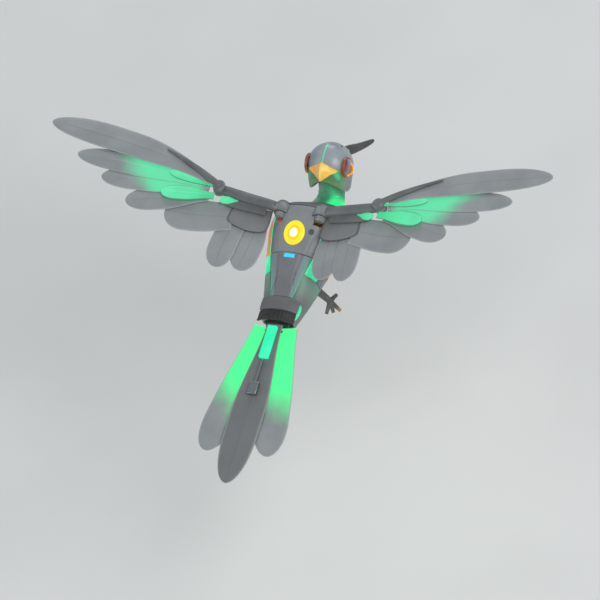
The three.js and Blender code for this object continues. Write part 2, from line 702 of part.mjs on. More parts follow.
const FEATHERS = {
  primary_1: { root: [84, 13], bend: [150, 45], tip: [281, 48], half: 16.5, quill: 0.32, layer: 0 },
  primary_2: { root: [84, 9], bend: [150, 18.5], tip: [240, 14.5], half: 14, quill: 0.35, layer: 2 },
  primary_3: { root: [84, 5], bend: [140, 3], tip: [205, -7.5], half: 14.5, quill: 0.35, layer: 3 },
  primary_4: { root: [82, -3], bend: [122, -13], tip: [169, -32], half: 15, quill: 0.4, layer: 4 },
  hand_covert: { root: [83, 3], bend: [105, 2], tip: [136, -1], half: 16, quill: 0.5, layer: 1 },
  arm_covert: { root: [30, -5], bend: [29, -18], tip: [31, -34], half: 24, quill: 0.95, layer: 4.4 },
  secondary_1: { root: [50, -20], bend: [84, -30], tip: [124, -31], half: 21, quill: 0.85, layer: 5.5 },
  secondary_2: { root: [40, -6], bend: [50, -42], tip: [50.5, -84], half: 15.5, quill: 0.8, layer: 6.5 },
  secondary_3: { root: [19, -8], bend: [17, -45], tip: [26, -81], half: 15.5, quill: 0.6, layer: 7.5 },
};
for (const [name, shape] of Object.entries(FEATHERS))
  placePair(name, feather(wingPoint, shape), material.feather);

// Left arm: a hub with a sector of gear teeth, and a tapered spar out to the wrist.
function armGeometry(phase) {
  const section = (s, t, chord, n, thick) =>
    ring(
      wingPoint(s, t, n),
      wingPoint(s, t + 1, n).sub(wingPoint(s, t, n)).multiplyScalar(chord),
      wingPoint(s, t, n + 1).sub(wingPoint(s, t, n)).multiplyScalar(thick),
      12,
    );
  const spar = loft([
    section(2, 2, 5.2, -7, 3.4),
    section(9, 2.4, 5.7, -5, 4.6),
    section(35, 3.5, 6.2, -4, 5),
    section(58, 6.5, 5.8, -4.4, 4.4),
    section(WRIST.s - 2, WRIST.t, 5.6, -5, 3.6),
  ]);
  const line = Math.atan2(idlerLeft.z - HUB.z, idlerLeft.x - HUB.x);
  const wedge = new THREE.Shape();
  wedge.moveTo(0, 0);
  wedge.absarc(0, 0, HUB.radius + 3, line - rad(SECTOR), line + rad(SECTOR), false);
  const sector = (from, to) => prismY(wedge, from, to).translate(HUB.x, 0, HUB.z);
  const wheel = toSolid(gearBody({ ...hubLeft, phase }));
  const teeth = toGeometry(wheel.intersect(toSolid(sector(GEAR.front, GEAR.back))));
  const room = sector(GEAR.front - GAP, GEAR.back + GAP);
  return cut(
    join(
      cut(cylinderY(HUB.x, HUB.z, HUB.radius, HUB.front, HUB.back, 24), room),
      cylinderY(HUB.x, HUB.z, pitchRadius(HUB_TEETH) - 2, HUB.front + 1, HUB.back - 0.6, 24),
      teeth,
      spar,
      wristDisc(WRIST.radius, -9, -1.2),
    ),
    cylinderY(HUB.x, HUB.z, HUB.pin + 0.3, -40, 40),
    wristDisc(WRIST.pin + 0.3, -20, 20),
  );
}
// A disc about the wrist's pin, square to the wing.
function wristDisc(radius, low, high, sides = 18) {
  return cylinderZ(0, 0, radius, low, high, sides)
    .rotateY(-DIHEDRAL)
    .translate(...wingPoint(WRIST.s, WRIST.t, 0).toArray());
}
place("left_wing_arm", armGeometry(leftHubPhase), material.dark);
place("right_wing_arm", mirrored(armGeometry(Math.PI - rightHubPhase)), material.dark);

// Hand spar: turns in the arm on its own wrist pin and carries the primaries along its leading edge.
function handGeometry() {
  const section = (s, t, chord, n, thick) =>
    ring(
      wingPoint(s, t, n),
      wingPoint(s, t + 1, n).sub(wingPoint(s, t, n)).multiplyScalar(chord),
      vec(-Math.sin(DIHEDRAL), 0, Math.cos(DIHEDRAL)).multiplyScalar(thick),
      12,
    );
  const spar = loft([
    section(WRIST.s, WRIST.t, 4.8, 2, 1.9),
    section(85, 15, 4.4, 2.3, 2.1),
    section(98, 21.8, 3.8, 2.2, 2),
    section(112, 28.3, 3.1, 2, 1.8),
    section(126, 34.6, 2.3, 1.7, 1.4),
    section(144, 42, 1.2, 1.2, 0.8),
  ]);
  const disc = wristDisc(WRIST.radius, -0.4, 3.9);
  const pin = wristDisc(WRIST.pin, -8.6, 0, 14);
  const cap = wristDisc(3.6, 3, 5.4, 14);
  return join(disc, spar, pin, cap);
}
placePair("hand_spar", handGeometry(), material.dark);

// ---------------------------------------------------------------- tail
const tail = new THREE.Group();
tail.position.set(0, TAIL.y, TAIL.z);
tail.rotation.x = -TAIL.droop;
bird.add(tail);
const tailPoint = (x, y, n) => vec(x, y, n);
const tailFeather = (options) => feather(tailPoint, options, TAIL.blade);

// Hub: a cross barrel on the hinge line with a tongue that carries the fan pins.
place(
  "tail_hub",
  join(
    cylinderX(0, -2, 4, -11.5, 11.5),
    block([-13, 13], [3.5, 24], [-5.6, -3.4]),
    block([-6, 6], [0, 5], [-5.6, -3.4]),
    ...[-1, 1].map((side) => cylinderZ(side * FAN_PIVOT.x, FAN_PIVOT.y, 1.6, -4, 1.4, 12)),
  ),
  material.dark,
  tail,
);
const fanHole = (side) => cylinderZ(side * FAN_PIVOT.x, FAN_PIVOT.y, 2, -10, 10, 12);
const outerFeather = (side, level) =>
  cut(
    tailFeather({
      root: [side * 11.5, 15.6], bend: [side * 23, 95], tip: [side * 38, 173],
      half: 20, quill: 0.75, layer: level / LAYER, camber: 0.3,
    }),
    fanHole(side),
  );
place("left_tail_feather", outerFeather(1, 0.9), material.feather, tail);
place("right_tail_feather", outerFeather(-1, -0.9), material.feather, tail);
place(
  "centre_tail_feather",
  tailFeather({
    root: [0, 12.8], bend: [0, 100], tip: [0, TAIL.length],
    half: 20, quill: 0.45, layer: -3.4 / LAYER, camber: 0.3,
  }),
  material.feather,
  tail,
);
place("tail_light", block([-5.5, 5.5], [17, 57], [3.8, 9]), material.green, tail);
place(
  "fan_slider",
  join(block([-1.4, 1.4], [58.5, 90], [5, 7.8]), block([-5.2, 5.2], [88, 103], [3.9, 9])),
  material.metal,
  tail,
);

// ---------------------------------------------------------------- legs
function limb(from, to, r0, r1, sides = 8) {
  const axis = to.clone().sub(from).normalize();
  const side = vec(1, 0, 0).addScaledVector(axis, -axis.x).normalize();
  const up = axis.clone().cross(side);
  const station = (f, r) =>
    ring(from.clone().lerp(to, f), side.clone().multiplyScalar(r), up.clone().multiplyScalar(r), sides);
  return loft([station(0, r0), station(0.5, lerp(r0, r1, 0.6)), station(1, r1)]);
}
const hip = vec(HIP.x, HIP.y, HIP.z);
const ankle = vec(ANKLE.x, ANKLE.y, ANKLE.z);
// Toe tips from the ankle: three spread to the rear and one to the front.
const TOES = [vec(-2, 13, -7), vec(4, 8, -10), vec(9, 2, -14), vec(4.5, -10, -1)];
placePair(
  "leg",
  join(
    cylinderX(HIP.y, HIP.z, 5.5, HIP.x - 4.5, HIP.x + 4.5),
    limb(hip, ankle, 5, 3.6, 10),
    new THREE.SphereGeometry(4.4, 10, 7).translate(...ankle.toArray()),
    ...TOES.map((toe) => limb(ankle, ankle.clone().add(toe), 3, 2)),
  ),
  material.dark,
);

export default bird;
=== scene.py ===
"""Looks of the flying bird decoy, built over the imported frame, in millimetres until a mesh is made."""

import math

import bmesh
import bpy
from mathutils import Matrix, Vector


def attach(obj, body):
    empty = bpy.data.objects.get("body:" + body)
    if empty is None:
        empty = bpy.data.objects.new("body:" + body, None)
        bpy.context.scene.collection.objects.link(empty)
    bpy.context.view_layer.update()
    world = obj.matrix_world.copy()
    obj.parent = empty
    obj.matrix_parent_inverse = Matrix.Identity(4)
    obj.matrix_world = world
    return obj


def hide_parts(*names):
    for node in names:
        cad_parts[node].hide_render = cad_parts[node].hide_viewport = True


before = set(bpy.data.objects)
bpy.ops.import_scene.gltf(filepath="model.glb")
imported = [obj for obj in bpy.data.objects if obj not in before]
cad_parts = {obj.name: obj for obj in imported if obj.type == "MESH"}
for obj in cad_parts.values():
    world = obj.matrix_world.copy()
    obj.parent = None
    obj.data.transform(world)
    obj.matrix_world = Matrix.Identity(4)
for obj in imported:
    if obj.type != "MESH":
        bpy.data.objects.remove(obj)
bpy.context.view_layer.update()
MM = 0.001
SIDES = (("left", 1), ("right", -1))


# ---------------------------------------------------------------- small maths
def lerp(a, b, f):
    return a + (b - a) * f


def clamp(x, low=0.0, high=1.0):
    return max(low, min(high, x))


def smooth(x, low, high):
    f = clamp((x - low) / (high - low))
    return f * f * (3 - 2 * f)


def steps(start, end, count):
    return [lerp(start, end, i / count) for i in range(count + 1)]


def through(xs, ys, x):
    """A smooth curve through a table of stations, with slopes from the neighbours."""
    last = len(xs) - 1
    k = min(sum(v <= x for v in xs[1:]), last - 1)

    def slope(j):
        a, b = max(j - 1, 0), min(j + 1, last)
        return (ys[b] - ys[a]) / (xs[b] - xs[a])

    width = xs[k + 1] - xs[k]
    u = clamp((x - xs[k]) / width)
    return (
        (2 * u**3 - 3 * u**2 + 1) * ys[k]
        + (u**3 - 2 * u**2 + u) * width * slope(k)
        + (3 * u**2 - 2 * u**3) * ys[k + 1]
        + (u**3 - u**2) * width * slope(k + 1)
    )


# ---------------------------------------------------------------- materials
def colour(red, green, blue):
    """A shader colour from the usual 0 to 255 screen values."""
    parts = [c / 255 for c in (red, green, blue)]
    return (*(c / 12.92 if c <= 0.04045 else ((c + 0.055) / 1.055) ** 2.4 for c in parts), 1.0)


def scaled(screen, factor, lift=0.0):
    """A screen colour as a shader colour made lighter or darker."""
    return (*(min(1.0, c * factor + lift) for c in colour(*screen)[:3]), 1.0)


class Paint:
    """A node material under construction."""

    def __init__(self, name):
        self.material = bpy.data.materials.new(name)
        self.material.use_nodes = True
        self.tree = self.material.node_tree
        self.shader = self.tree.nodes["Principled BSDF"]

    def node(self, kind, inputs=None, **settings):
        made = self.tree.nodes.new(kind)
        for key, value in settings.items():
            setattr(made, key, value)
        for key, value in (inputs or {}).items():
            self.feed(made.inputs[key], value)
        return made

    def feed(self, socket, value):
        """Sets or links a socket; three numbers on a colour socket are a screen colour."""
        if isinstance(value, bpy.types.NodeSocket):
            self.tree.links.new(value, socket)
        elif socket.type == "RGBA" and len(value) == 3:
            socket.default_value = colour(*value)
        else:
            socket.default_value = value

    def place(self):
        return self.node("ShaderNodeTexCoord").outputs["Object"]

    def axis(self, index):
        """One coordinate of the point being painted."""
        return self.node("ShaderNodeSeparateXYZ", {0: self.place()}).outputs[index]

    def map(self, layer):
        """The two coordinates of a named map of the mesh."""
        uv = self.node("ShaderNodeUVMap", uv_map=layer)
        split = self.node("ShaderNodeSeparateXYZ", {0: uv.outputs[0]})
        return split.outputs[0], split.outputs[1]

    def noise(self, scale, detail=4.0, rough=0.55, vector=None):
        made = self.node("ShaderNodeTexNoise", {"Scale": scale, "Detail": detail, "Roughness": rough})
        self.feed(made.inputs["Vector"], vector or self.place())
        return made.outputs["Fac"]

    def math(self, operation, *values):
        return self.node("ShaderNodeMath", dict(enumerate(values)), operation=operation).outputs[0]

    def times(self, a, b):
        return self.math("MULTIPLY", a, b)

    def times_add(self, a, b, c):
        return self.math("MULTIPLY_ADD", a, b, c)

    def ramp(self, value, low, high, to_low=0.0, to_high=1.0):
        """A smooth step of a value from one level to another."""
        made = self.node("ShaderNodeMapRange", {0: value, 1: low, 2: high, 3: to_low, 4: to_high})
        made.interpolation_type = "SMOOTHSTEP"
        return made.outputs[0]

    def cloud(self, scale, detail, *levels):
        """Noise through a smooth step."""
        return self.ramp(self.noise(scale, detail), *levels)

    def blend(self, factor, first, second):
        made = self.node("ShaderNodeMix", data_type="RGBA")
        for key, value in ((0, factor), (6, first), (7, second)):
            self.feed(made.inputs[key], value)
        return made.outputs[2]

    def bump(self, height, distance, strength=1.0):
        made = self.node("ShaderNodeBump", {"Height": height, "Distance": distance, "Strength": strength})
        self.feed(self.shader.inputs["Normal"], made.outputs[0])

    def set(self, **values):
        names = {
            "base": "Base Color", "rough": "Roughness", "metal": "Metallic", "glow": "Emission Color",
            "power": "Emission Strength", "coat": "Coat Weight", "coat_rough": "Coat Roughness",
        }
        for key, value in values.items():
            self.feed(self.shader.inputs[names[key]], value)
        return self.material


def worn_plastic(name, main, shade, rough=0.5, grain=0.02):
    """Moulded plastic: slow colour drift, fine grain, and edges rubbed lighter."""
    paint = Paint(name)
    drift = paint.cloud(28, 3, 0.3, 0.75)
    speck = paint.cloud(900, 2, 0.45, 0.75)
    base = paint.blend(drift, main, shade)
    base = paint.blend(paint.times(speck, 0.12), base, shade)
    edge = paint.node("ShaderNodeNewGeometry").outputs["Pointiness"]
    rub = paint.times(paint.ramp(edge, 0.515, 0.56), paint.cloud(160, 4, 0.35, 0.65))
    light = scaled(main, 1.7, 0.03)
    base = paint.blend(paint.times(rub, 0.5), base, light)
    paint.bump(paint.noise(1500, 3), grain * MM)
    roughness = paint.cloud(60, 4, 0.2, 0.8, rough - 0.08, rough + 0.1)
    return paint, base, roughness


def plain_plastic(*recipe):
    paint, base, roughness = worn_plastic(*recipe)
    return paint.set(base=base, rough=roughness)


def lit_plastic(name, glow, deep, power, rough=0.3):
    """A lamp behind coloured plastic, with slow clouds of brighter and deeper colour."""
    paint = Paint(name)
    flow = paint.cloud(45, 3, 0.3, 0.7)
    shade = paint.blend(flow, deep, glow)
    strength = paint.times(paint.cloud(70, 2, 0.2, 0.8, 0.85, 1.1), power)
    paint.bump(paint.noise(700, 2), 0.02 * MM)
    base = scaled(deep, 0.3)
    return paint.set(base=base, glow=shade, power=strength, rough=rough, coat=0.3, coat_rough=0.15)


GREEN, SEAM_GREY = (70, 250, 165), (66, 70, 72)  # shared screen colours
FULL_TURN = 2 * math.pi
BARBS, COVERT_BARBS = 55.0, 30.0  # ridges along a feather


def vane_relief(paint, along, across, barbs):
    """Barbs as fine ridges that sweep outward from the quill line; returns the distance from the quill."""
    side = paint.math("ABSOLUTE", across)
    lines = paint.times_add(side, -7.0, paint.times(along, barbs))
    ridge = paint.times(paint.math("SINE", paint.times(lines, FULL_TURN)), 0.1)
    height = paint.times_add(paint.noise(900, 2), 0.25, ridge)
    paint.bump(height, 0.1 * MM)
    return side


def feather_paint(name, main, shade, edge, edge_power=0.45):
    """Wing feather plastic with a rim in the given colour, a painted highlight where it is pale and a seam
    line where it is dark, and painted shade close to the shoulder.
    """
    paint, base, roughness = worn_plastic(name, main, shade, 0.5, 0.01)
    side = vane_relief(paint, *paint.map("feather"), BARBS)
    out, forward = paint.map("wing")
    quill = paint.ramp(side, 0.02, 0.07, 0.3, 0.0)
    base = paint.blend(quill, base, (116, 121, 123))
    # painted shade: darker close to the shoulder, behind the arm
    near = paint.times(paint.ramp(out, 0.5, 0.12), paint.ramp(forward, -0.35, -0.05))
    base = paint.blend(paint.times(near, 0.6), base, (84, 86, 84))
    # the rim in the given colour: a painted highlight where it is pale
    base = paint.blend(paint.ramp(side, 0.86, 1.0, 0.0, edge_power), base, edge)
    return paint.set(base=base, rough=roughness, coat=0.1)


def lit_feather_paint(name, fade_start, fade_end, glow, power, root_start=-1.0, root_end=-0.5):
    """Feather plastic lit from its root; the light dies out along it, on a slant across the quill, and its
    rim is a pale painted highlight.
    """
    paint, base, roughness = worn_plastic(name, (150, 154, 155), (136, 141, 143), 0.5, 0.01)
    along, across = paint.map("feather")
    side = vane_relief(paint, along, across, BARBS)
    wave = paint.times_add(across, 0.07, along)
    cloud = paint.times_add(paint.noise(38, 3), 0.16, paint.math("ADD", wave, -0.08))
    lit = paint.ramp(cloud, fade_start, fade_end, 1.0, 0.0)
    lit = paint.times(lit, paint.ramp(along, root_start, root_end))
    rim = paint.ramp(side, 0.9, 1.0, 1.0, 0.25)
    lit = paint.times(lit, rim)
    # painted highlight: a pale rim along the feather's edge
    base = paint.blend(paint.ramp(side, 0.86, 1.0, 0.0, 0.45), base, (178, 184, 184))
    base = paint.blend(paint.times(lit, 0.92), base, scaled(glow, 0.35))
    power = paint.times(lit, power)
    return paint.set(base=base, rough=roughness, glow=glow, power=power, coat=0.1)


def covert_paint():
    """Green lit inner coverts with a grey-brown edge."""
    paint = Paint("covert_green")
    along, across = paint.map("feather")
    side = vane_relief(paint, along, across, COVERT_BARBS)
    glow = paint.blend(paint.ramp(along, 0.0, 0.9), (70, 222, 150), (104, 242, 180))
    edge = paint.ramp(side, 0.8, 0.97)
    base = paint.blend(edge, (40, 110, 80), (98, 128, 108))
    strength = paint.times(paint.cloud(30, 2, 0.3, 0.7, 0.66, 0.8), paint.ramp(edge, 0.0, 1.0, 1.0, 0.12))
    return paint.set(base=base, glow=glow, power=strength, rough=0.4, coat=0.2)


def breast_paint():
    """Coral by the shoulders, yellow-orange towards the waist, with a soft inner light."""
    paint = Paint("breast_orange")
    along = paint.axis(1)
    base = paint.blend(paint.ramp(along, 0.0, 0.042), (232, 118, 84), (248, 168, 62))
    blush = paint.times(paint.cloud(70, 4, 0.4, 0.8), 0.35)
    base = paint.blend(blush, base, (214, 92, 50))
    paint.bump(paint.noise(900, 3), 0.03 * MM)
    roughness = paint.cloud(80, 3, 0.2, 0.8, 0.3, 0.45)
    return paint.set(base=base, rough=roughness, glow=base, power=0.22, coat=0.3, coat_rough=0.2)


def neck_paint():
    """Cloudy green sleeve with one lamp shining through low on its right side, and painted shade on its
    lower part.
    """
    paint = Paint("neck_green")
    near = paint.ramp(paint.axis(1), -0.063, -0.052)
    side = paint.ramp(paint.axis(0), 0.0, -0.009)
    spot = paint.times(near, side)
    base = paint.blend(paint.cloud(55, 3, 0.3, 0.7), (84, 140, 116), (104, 166, 138))
    # painted shade: the lower part of the sleeve is darker
    shade = paint.ramp(paint.axis(2), 0.03, 0.045, 0.5, 0.0)
    base = paint.blend(shade, base, (56, 140, 108))
    base = paint.blend(spot, base, (24, 120, 66))
    paint.bump(paint.noise(400, 3), 0.04 * MM)
    power = paint.times_add(spot, 0.78, 0.05)
    return paint.set(base=base, glow=(58, 252, 150), power=power, rough=0.35, coat=0.3)


def helmet_paint():
    """Pale helmet whose cheeks turn into cloudy green below the beak, with painted shade on one side of the
    crown; the map gives azimuth and drop.
    """
    paint, base, roughness = worn_plastic("helmet_grey", (156, 165, 170), (132, 141, 147), 0.36, 0.02)
    azimuth, drop = paint.map("feather")
    ahead = paint.math("ABSOLUTE", azimuth)
    # painted shade: one side of the crown darker
    crown = paint.times(paint.ramp(drop, 0.3, 0.12), paint.ramp(azimuth, 0.1, -0.3))
    base = paint.blend(paint.times(crown, 0.45), base, (108, 113, 120))
    cheek = paint.times(paint.ramp(drop, 0.56, 0.66), paint.ramp(ahead, 0.46, 0.3))
    tint = paint.blend(paint.cloud(90, 3, 0.3, 0.7), (84, 128, 92), (112, 150, 112))
    base = paint.blend(cheek, base, tint)
    back = paint.times(paint.ramp(drop, 0.6, 0.8), paint.ramp(ahead, 0.3, 0.5))
    base = paint.blend(paint.times(back, 0.55), base, (92, 104, 100))
    streak = paint.times_add(drop, 0.3, azimuth)
    bar = paint.times(paint.ramp(streak, 0.06, 0.02), paint.ramp(streak, -0.07, -0.02))
    ends = paint.times(paint.ramp(drop, 0.59, 0.64), paint.ramp(drop, 0.86, 0.76))
    bar = paint.times(bar, ends)
    low = paint.times(paint.ramp(drop, 0.86, 0.99), paint.ramp(ahead, 0.4, 0.15))
    base = paint.blend(paint.times(low, 0.5), base, (150, 160, 100))
    base = paint.blend(bar, base, (50, 140, 90))
    power = paint.times_add(bar, 0.34, paint.times(cheek, 0.05))
    glow = (80, 232, 150)
    return paint.set(base=base, rough=roughness, glow=glow, power=power, coat=0.25, coat_rough=0.2)


def beak_paint():
    """Yellow horn with painted shade deepening one cheek, a painted highlight along the ridge and a faint
    painted glow.
    """
    paint = Paint("beak_yellow")
    across, _ = paint.map("feather")
    # painted shade: one cheek deeper orange, the other lighter yellow
    turn = paint.ramp(across, -0.04, 0.04)
    base = paint.blend(turn, (226, 152, 40), (250, 204, 78))
    # painted highlight: pale along the ridge
    base = paint.blend(paint.ramp(across, 0.45, 0.0, 0.0, 0.6), base, (255, 224, 140))
    # painted shade: the deeper cheek darkens further out
    base = paint.blend(paint.ramp(across, -0.05, -0.5, 0.0, 0.4), base, (232, 150, 36))
    stain = paint.times(paint.cloud(220, 4, 0.45, 0.8), 0.3)
    base = paint.blend(stain, base, (210, 128, 30))
    paint.bump(paint.noise(600, 3), 0.04 * MM)
    roughness = paint.cloud(90, 3, 0.2, 0.8, 0.3, 0.45)
    # glow and power give the beak a faint painted glow
    return paint.set(base=base, glow=base, power=0.12, rough=roughness, coat=0.2)


def lamp_paint():
    """Yellow ring, amber line and a white-hot middle; the map runs out from the centre."""
    paint = Paint("lamp_lens")
    radius, _ = paint.map("feather")
    hot = paint.ramp(radius, 0.22, 0.42, 1.0, 0.0)
    line = paint.times(paint.ramp(radius, 0.4, 0.46), paint.ramp(radius, 0.56, 0.66, 1.0, 0.0))
    glow = paint.blend(line, (255, 240, 52), (252, 206, 22))
    glow = paint.blend(hot, glow, (255, 255, 250))
    cloud = paint.cloud(60, 2, 0.3, 0.7, 0.84, 0.92)
    base = paint.blend(hot, (110, 90, 6), (200, 200, 190))
    return paint.set(base=base, glow=glow, power=paint.times_add(hot, 0.5, cloud), rough=0.3)


def metal_paint(name, tone, rough=0.3):
    """Brushed metal."""
    paint = Paint(name)
    stretch = paint.node("ShaderNodeMapping", {"Vector": paint.place(), "Scale": (1, 30, 30)})
    brush = paint.noise(60, 4, vector=stretch.outputs[0])
    base = paint.blend(paint.ramp(brush, 0.3, 0.7), tone, scaled(tone, 0.7))
    paint.bump(brush, 0.01 * MM)
    return paint.set(base=base, metal=1.0, rough=paint.ramp(brush, 0.3, 0.7, rough, rough + 0.15))


def eye_paint():
    """Dark glossy lens with purple and red swirls."""
    paint = Paint("eye_lens")
    swirl = paint.cloud(150, 3, 0.42, 0.62)
    base = paint.blend(swirl, (44, 34, 48), (140, 112, 136))
    red = paint.times(paint.cloud(110, 2, 0.5, 0.7), 0.8)
    base = paint.blend(red, base, (132, 44, 60))
    paint.bump(paint.noise(300, 2), 0.02 * MM)
    roughness = paint.cloud(60, 3, 0.3, 0.7, 0.1, 0.22)
    return paint.set(base=base, rough=roughness, coat=1.0, coat_rough=0.08)


def fin_paint():
    """Orange fin across the eye: yellow along its crest, red towards its foot, with a faint painted glow."""
    paint = Paint("eye_fin")
    _, across = paint.map("feather")
    base = paint.blend(paint.ramp(across, 0.1, 0.75), (226, 84, 58), (255, 172, 44))
    base = paint.blend(paint.times(paint.noise(240, 3), 0.3), base, (255, 138, 40))
    paint.bump(paint.noise(500, 2), 0.03 * MM)
    # a faint painted glow over the whole fin
    return paint.set(base=base, glow=base, power=0.3, rough=0.35, coat=0.3)


def flank_paint():
    """Flanks catch the green of the side lamps at their front end."""
    paint, base, roughness = worn_plastic("flank_grey", (122, 128, 126), (108, 114, 112), 0.5)
    along = paint.axis(1)
    spill = paint.ramp(along, 0.096, 0.066)
    base = paint.blend(paint.times(spill, 0.75), base, (132, 164, 150))
    return paint.set(base=base, rough=roughness, glow=GREEN, power=paint.times(spill, 0.03))


def rump_paint():
    """The spine of the rump is grey; the panels on both sides of it are bluer and catch green light."""
    paint, base, roughness = worn_plastic("rump_grey", (122, 124, 127), (110, 113, 116), 0.5)
    _, across = paint.map("feather")
    side = paint.math("ABSOLUTE", paint.times_add(across, 2.0, -1.0))
    panel = paint.ramp(side, 0.55, 0.68)
    base = paint.blend(paint.times(panel, 0.8), base, (124, 150, 152))
    green = paint.ramp(side, 0.8, 1.0)
    base = paint.blend(paint.times(green, 0.6), base, (128, 172, 158))
    return paint.set(base=base, rough=roughness, glow=GREEN, power=paint.times(green, 0.05))


def leg_paint():
    """Dark leg whose soles carry painted warm light."""
    paint, base, roughness = worn_plastic("leg_grey", (84, 85, 84), (64, 65, 66), 0.5)
    height = paint.axis(2)
    # painted light: warm light on the lowest parts of the toes
    painted_sole_light = paint.times(paint.ramp(height, -0.0185, -0.024), 0.8)
    return paint.set(base=paint.blend(painted_sole_light, base, (184, 142, 92)), rough=roughness)


shell_grey = plain_plastic("shell_grey", (142, 145, 147), (124, 128, 131), 0.48)
cap_grey = plain_plastic("cap_grey", (126, 131, 132), (110, 115, 117), 0.46)
hood_grey = plain_plastic("hood_grey", (110, 111, 112), (98, 100, 101), 0.5)
dark_grey = plain_plastic("dark_grey", (84, 85, 86), (66, 68, 69), 0.5)
grille_dark = plain_plastic("grille_dark", (58, 60, 56), (38, 40, 38), 0.6)
crest_grey = plain_plastic("crest_grey", (66, 67, 69), (50, 51, 53), 0.45)
arm_grey = plain_plastic("arm_grey", (114, 116, 117), (94, 97, 98), 0.46)
collar_grey = plain_plastic("collar_grey", (104, 105, 106), (88, 90, 91), 0.5)
green_light = lit_plastic("green_light", (80, 242, 186), (44, 226, 150), 0.8)
dim_green = lit_plastic("dim_green", (70, 196, 150), (44, 150, 112), 0.3)
tail_bar = lit_plastic("tail_bar_light", (66, 255, 196), (40, 240, 170), 0.85)
blue_light = lit_plastic("blue_light", (104, 228, 252), (70, 200, 250), 0.9)
orange_rim = lit_plastic("orange_rim", (214, 130, 62), (196, 112, 58), 0.15, 0.35)
steel = metal_paint("steel", (176, 180, 182))
gear_ivory = plain_plastic("gear_ivory", (220, 214, 198), (204, 198, 180), 0.5)
# Pale rims on feather_grey and tail_grey are a painted highlight; the dark rims on covert_grey and arm_skin
# are seam lines.
feather_grey = feather_paint("feather_grey", (150, 154, 155), (138, 142, 144), (178, 182, 183))
covert_grey = feather_paint("covert_grey", (126, 128, 128), (112, 115, 116), SEAM_GREY, 0.7)
arm_skin = feather_paint("arm_skin", (116, 117, 117), (98, 100, 100), SEAM_GREY, 0.4)
tail_grey = feather_paint("tail_grey", (148, 152, 154), (138, 143, 145), (174, 180, 180))
wing_lit = lit_feather_paint("wing_lit", 0.5, 0.76, (96, 234, 172), 0.62, 0.0, 0.12)
tail_lit = lit_feather_paint("tail_lit", 0.42, 0.76, (70, 252, 146), 0.8)
covert_green, leg_grey = covert_paint(), leg_paint()
breast_orange, neck_green, helmet_grey = breast_paint(), neck_paint(), helmet_paint()
flank_grey, rump_grey, fin_orange = flank_paint(), rump_paint(), fin_paint()
beak_yellow, lamp_lens, eye_lens = beak_paint(), lamp_paint(), eye_paint()


# ---------------------------------------------------------------- mesh helpers
def mesh_of(name, solid, weld=False):
    """A mesh with its faces turned out. A solid is (points, faces) or (points, faces, maps), in millimetres;
    each named map has a pair for each point."""
    points, faces, *maps = solid
    mesh = bpy.data.meshes.new(name)
    mesh.from_pydata([tuple(c * MM for c in p) for p in points], [], faces)
    for layer, pairs in (maps[0] if maps else {}).items():
        uv = mesh.uv_layers.new(name=layer)
        for loop in mesh.loops:
            uv.data[loop.index].uv = pairs[loop.vertex_index]
    work = bmesh.new()
    work.from_mesh(mesh)
    if weld:
        bmesh.ops.remove_doubles(work, verts=work.verts, dist=1e-6)
    bmesh.ops.recalc_face_normals(work, faces=work.faces)
    work.to_mesh(mesh)
    work.free()
    return mesh


def linked(name, data):
    made = bpy.data.objects.new(name, data)
    bpy.context.scene.collection.objects.link(made)
    return made


def dressed(made, material, body, replaces, sharp):
    """Gives a piece its material, smooth faces and body, and hides the CAD nodes it replaces."""
    made.data.materials.clear()
    made.data.materials.append(material)
    made.data.polygons.foreach_set("use_smooth", [True] * len(made.data.polygons))
    made.data.set_sharp_from_angle(angle=math.radians(sharp))
    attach(made, body)
    if replaces:
        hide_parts(*replaces)


def piece(name, solid, material, body, replaces=(), sharp=40, cutters=()):
    """One visible piece, with throwaway solids cut out of it."""
    made = linked(name, mesh_of(name, solid, weld=True))
    for cutter in cutters:
        subtract(made, cutter)
    dressed(made, material, body, replaces, sharp)


def subtract(target, cutter):
    """Cuts a solid out of a piece."""
    tool = linked("cutter", mesh_of("cutter", cutter))
    change = target.modifiers.new("cut", "BOOLEAN")
    change.operation, change.solver, change.object = "DIFFERENCE", "EXACT", tool
    bpy.context.view_layer.update()
    result = bpy.data.meshes.new_from_object(target.evaluated_get(bpy.context.evaluated_depsgraph_get()))
    target.modifiers.clear()
    target.data = result
    bpy.data.objects.remove(tool)


def loft(rings, caps=True):
    """(points, faces) of a skin through rings of equal point counts."""
    n = len(rings[0])
    points = [p for ring in rings for p in ring]
    faces = []
    for i in range(len(rings) - 1):
        for j in range(n):
            k = (j + 1) % n
            faces.append((i * n + j, i * n + k, (i + 1) * n + k, (i + 1) * n + j))
    if caps:
        faces.append(tuple(range(n)))
        faces.append(tuple(reversed(range((len(rings) - 1) * n, len(rings) * n))))
    return points, faces


def closed_loft(rings):
    """A skin that runs out through the rings and back to the first."""
    return loft(rings + rings[:1], caps=False)


def ellipse(centre, across, up, count=40):
    centre, across, up = Vector(centre), Vector(across), Vector(up)
    turn = [2 * math.pi * i / count for i in range(count)]
    return [centre + across * math.cos(a) + up * math.sin(a) for a in turn]


def cylinder(low, high, radius, count=48):
    """(points, faces) of a round rod between two points."""
    low, high = Vector(low), Vector(high)
    axis = (high - low).normalized()
    across = axis.orthogonal().normalized() * radius
    up = axis.cross(across)
    return loft([ellipse(low, across, up, count), ellipse(high, across, up, count)])


def box(x, y, z):
    corners = [(a, b, c) for a in x for b in y for c in z]
    return corners, [(0, 1, 3, 2), (4, 6, 7, 5), (0, 4, 5, 1), (2, 3, 7, 6), (0, 2, 6, 4), (1, 5, 7, 3)]


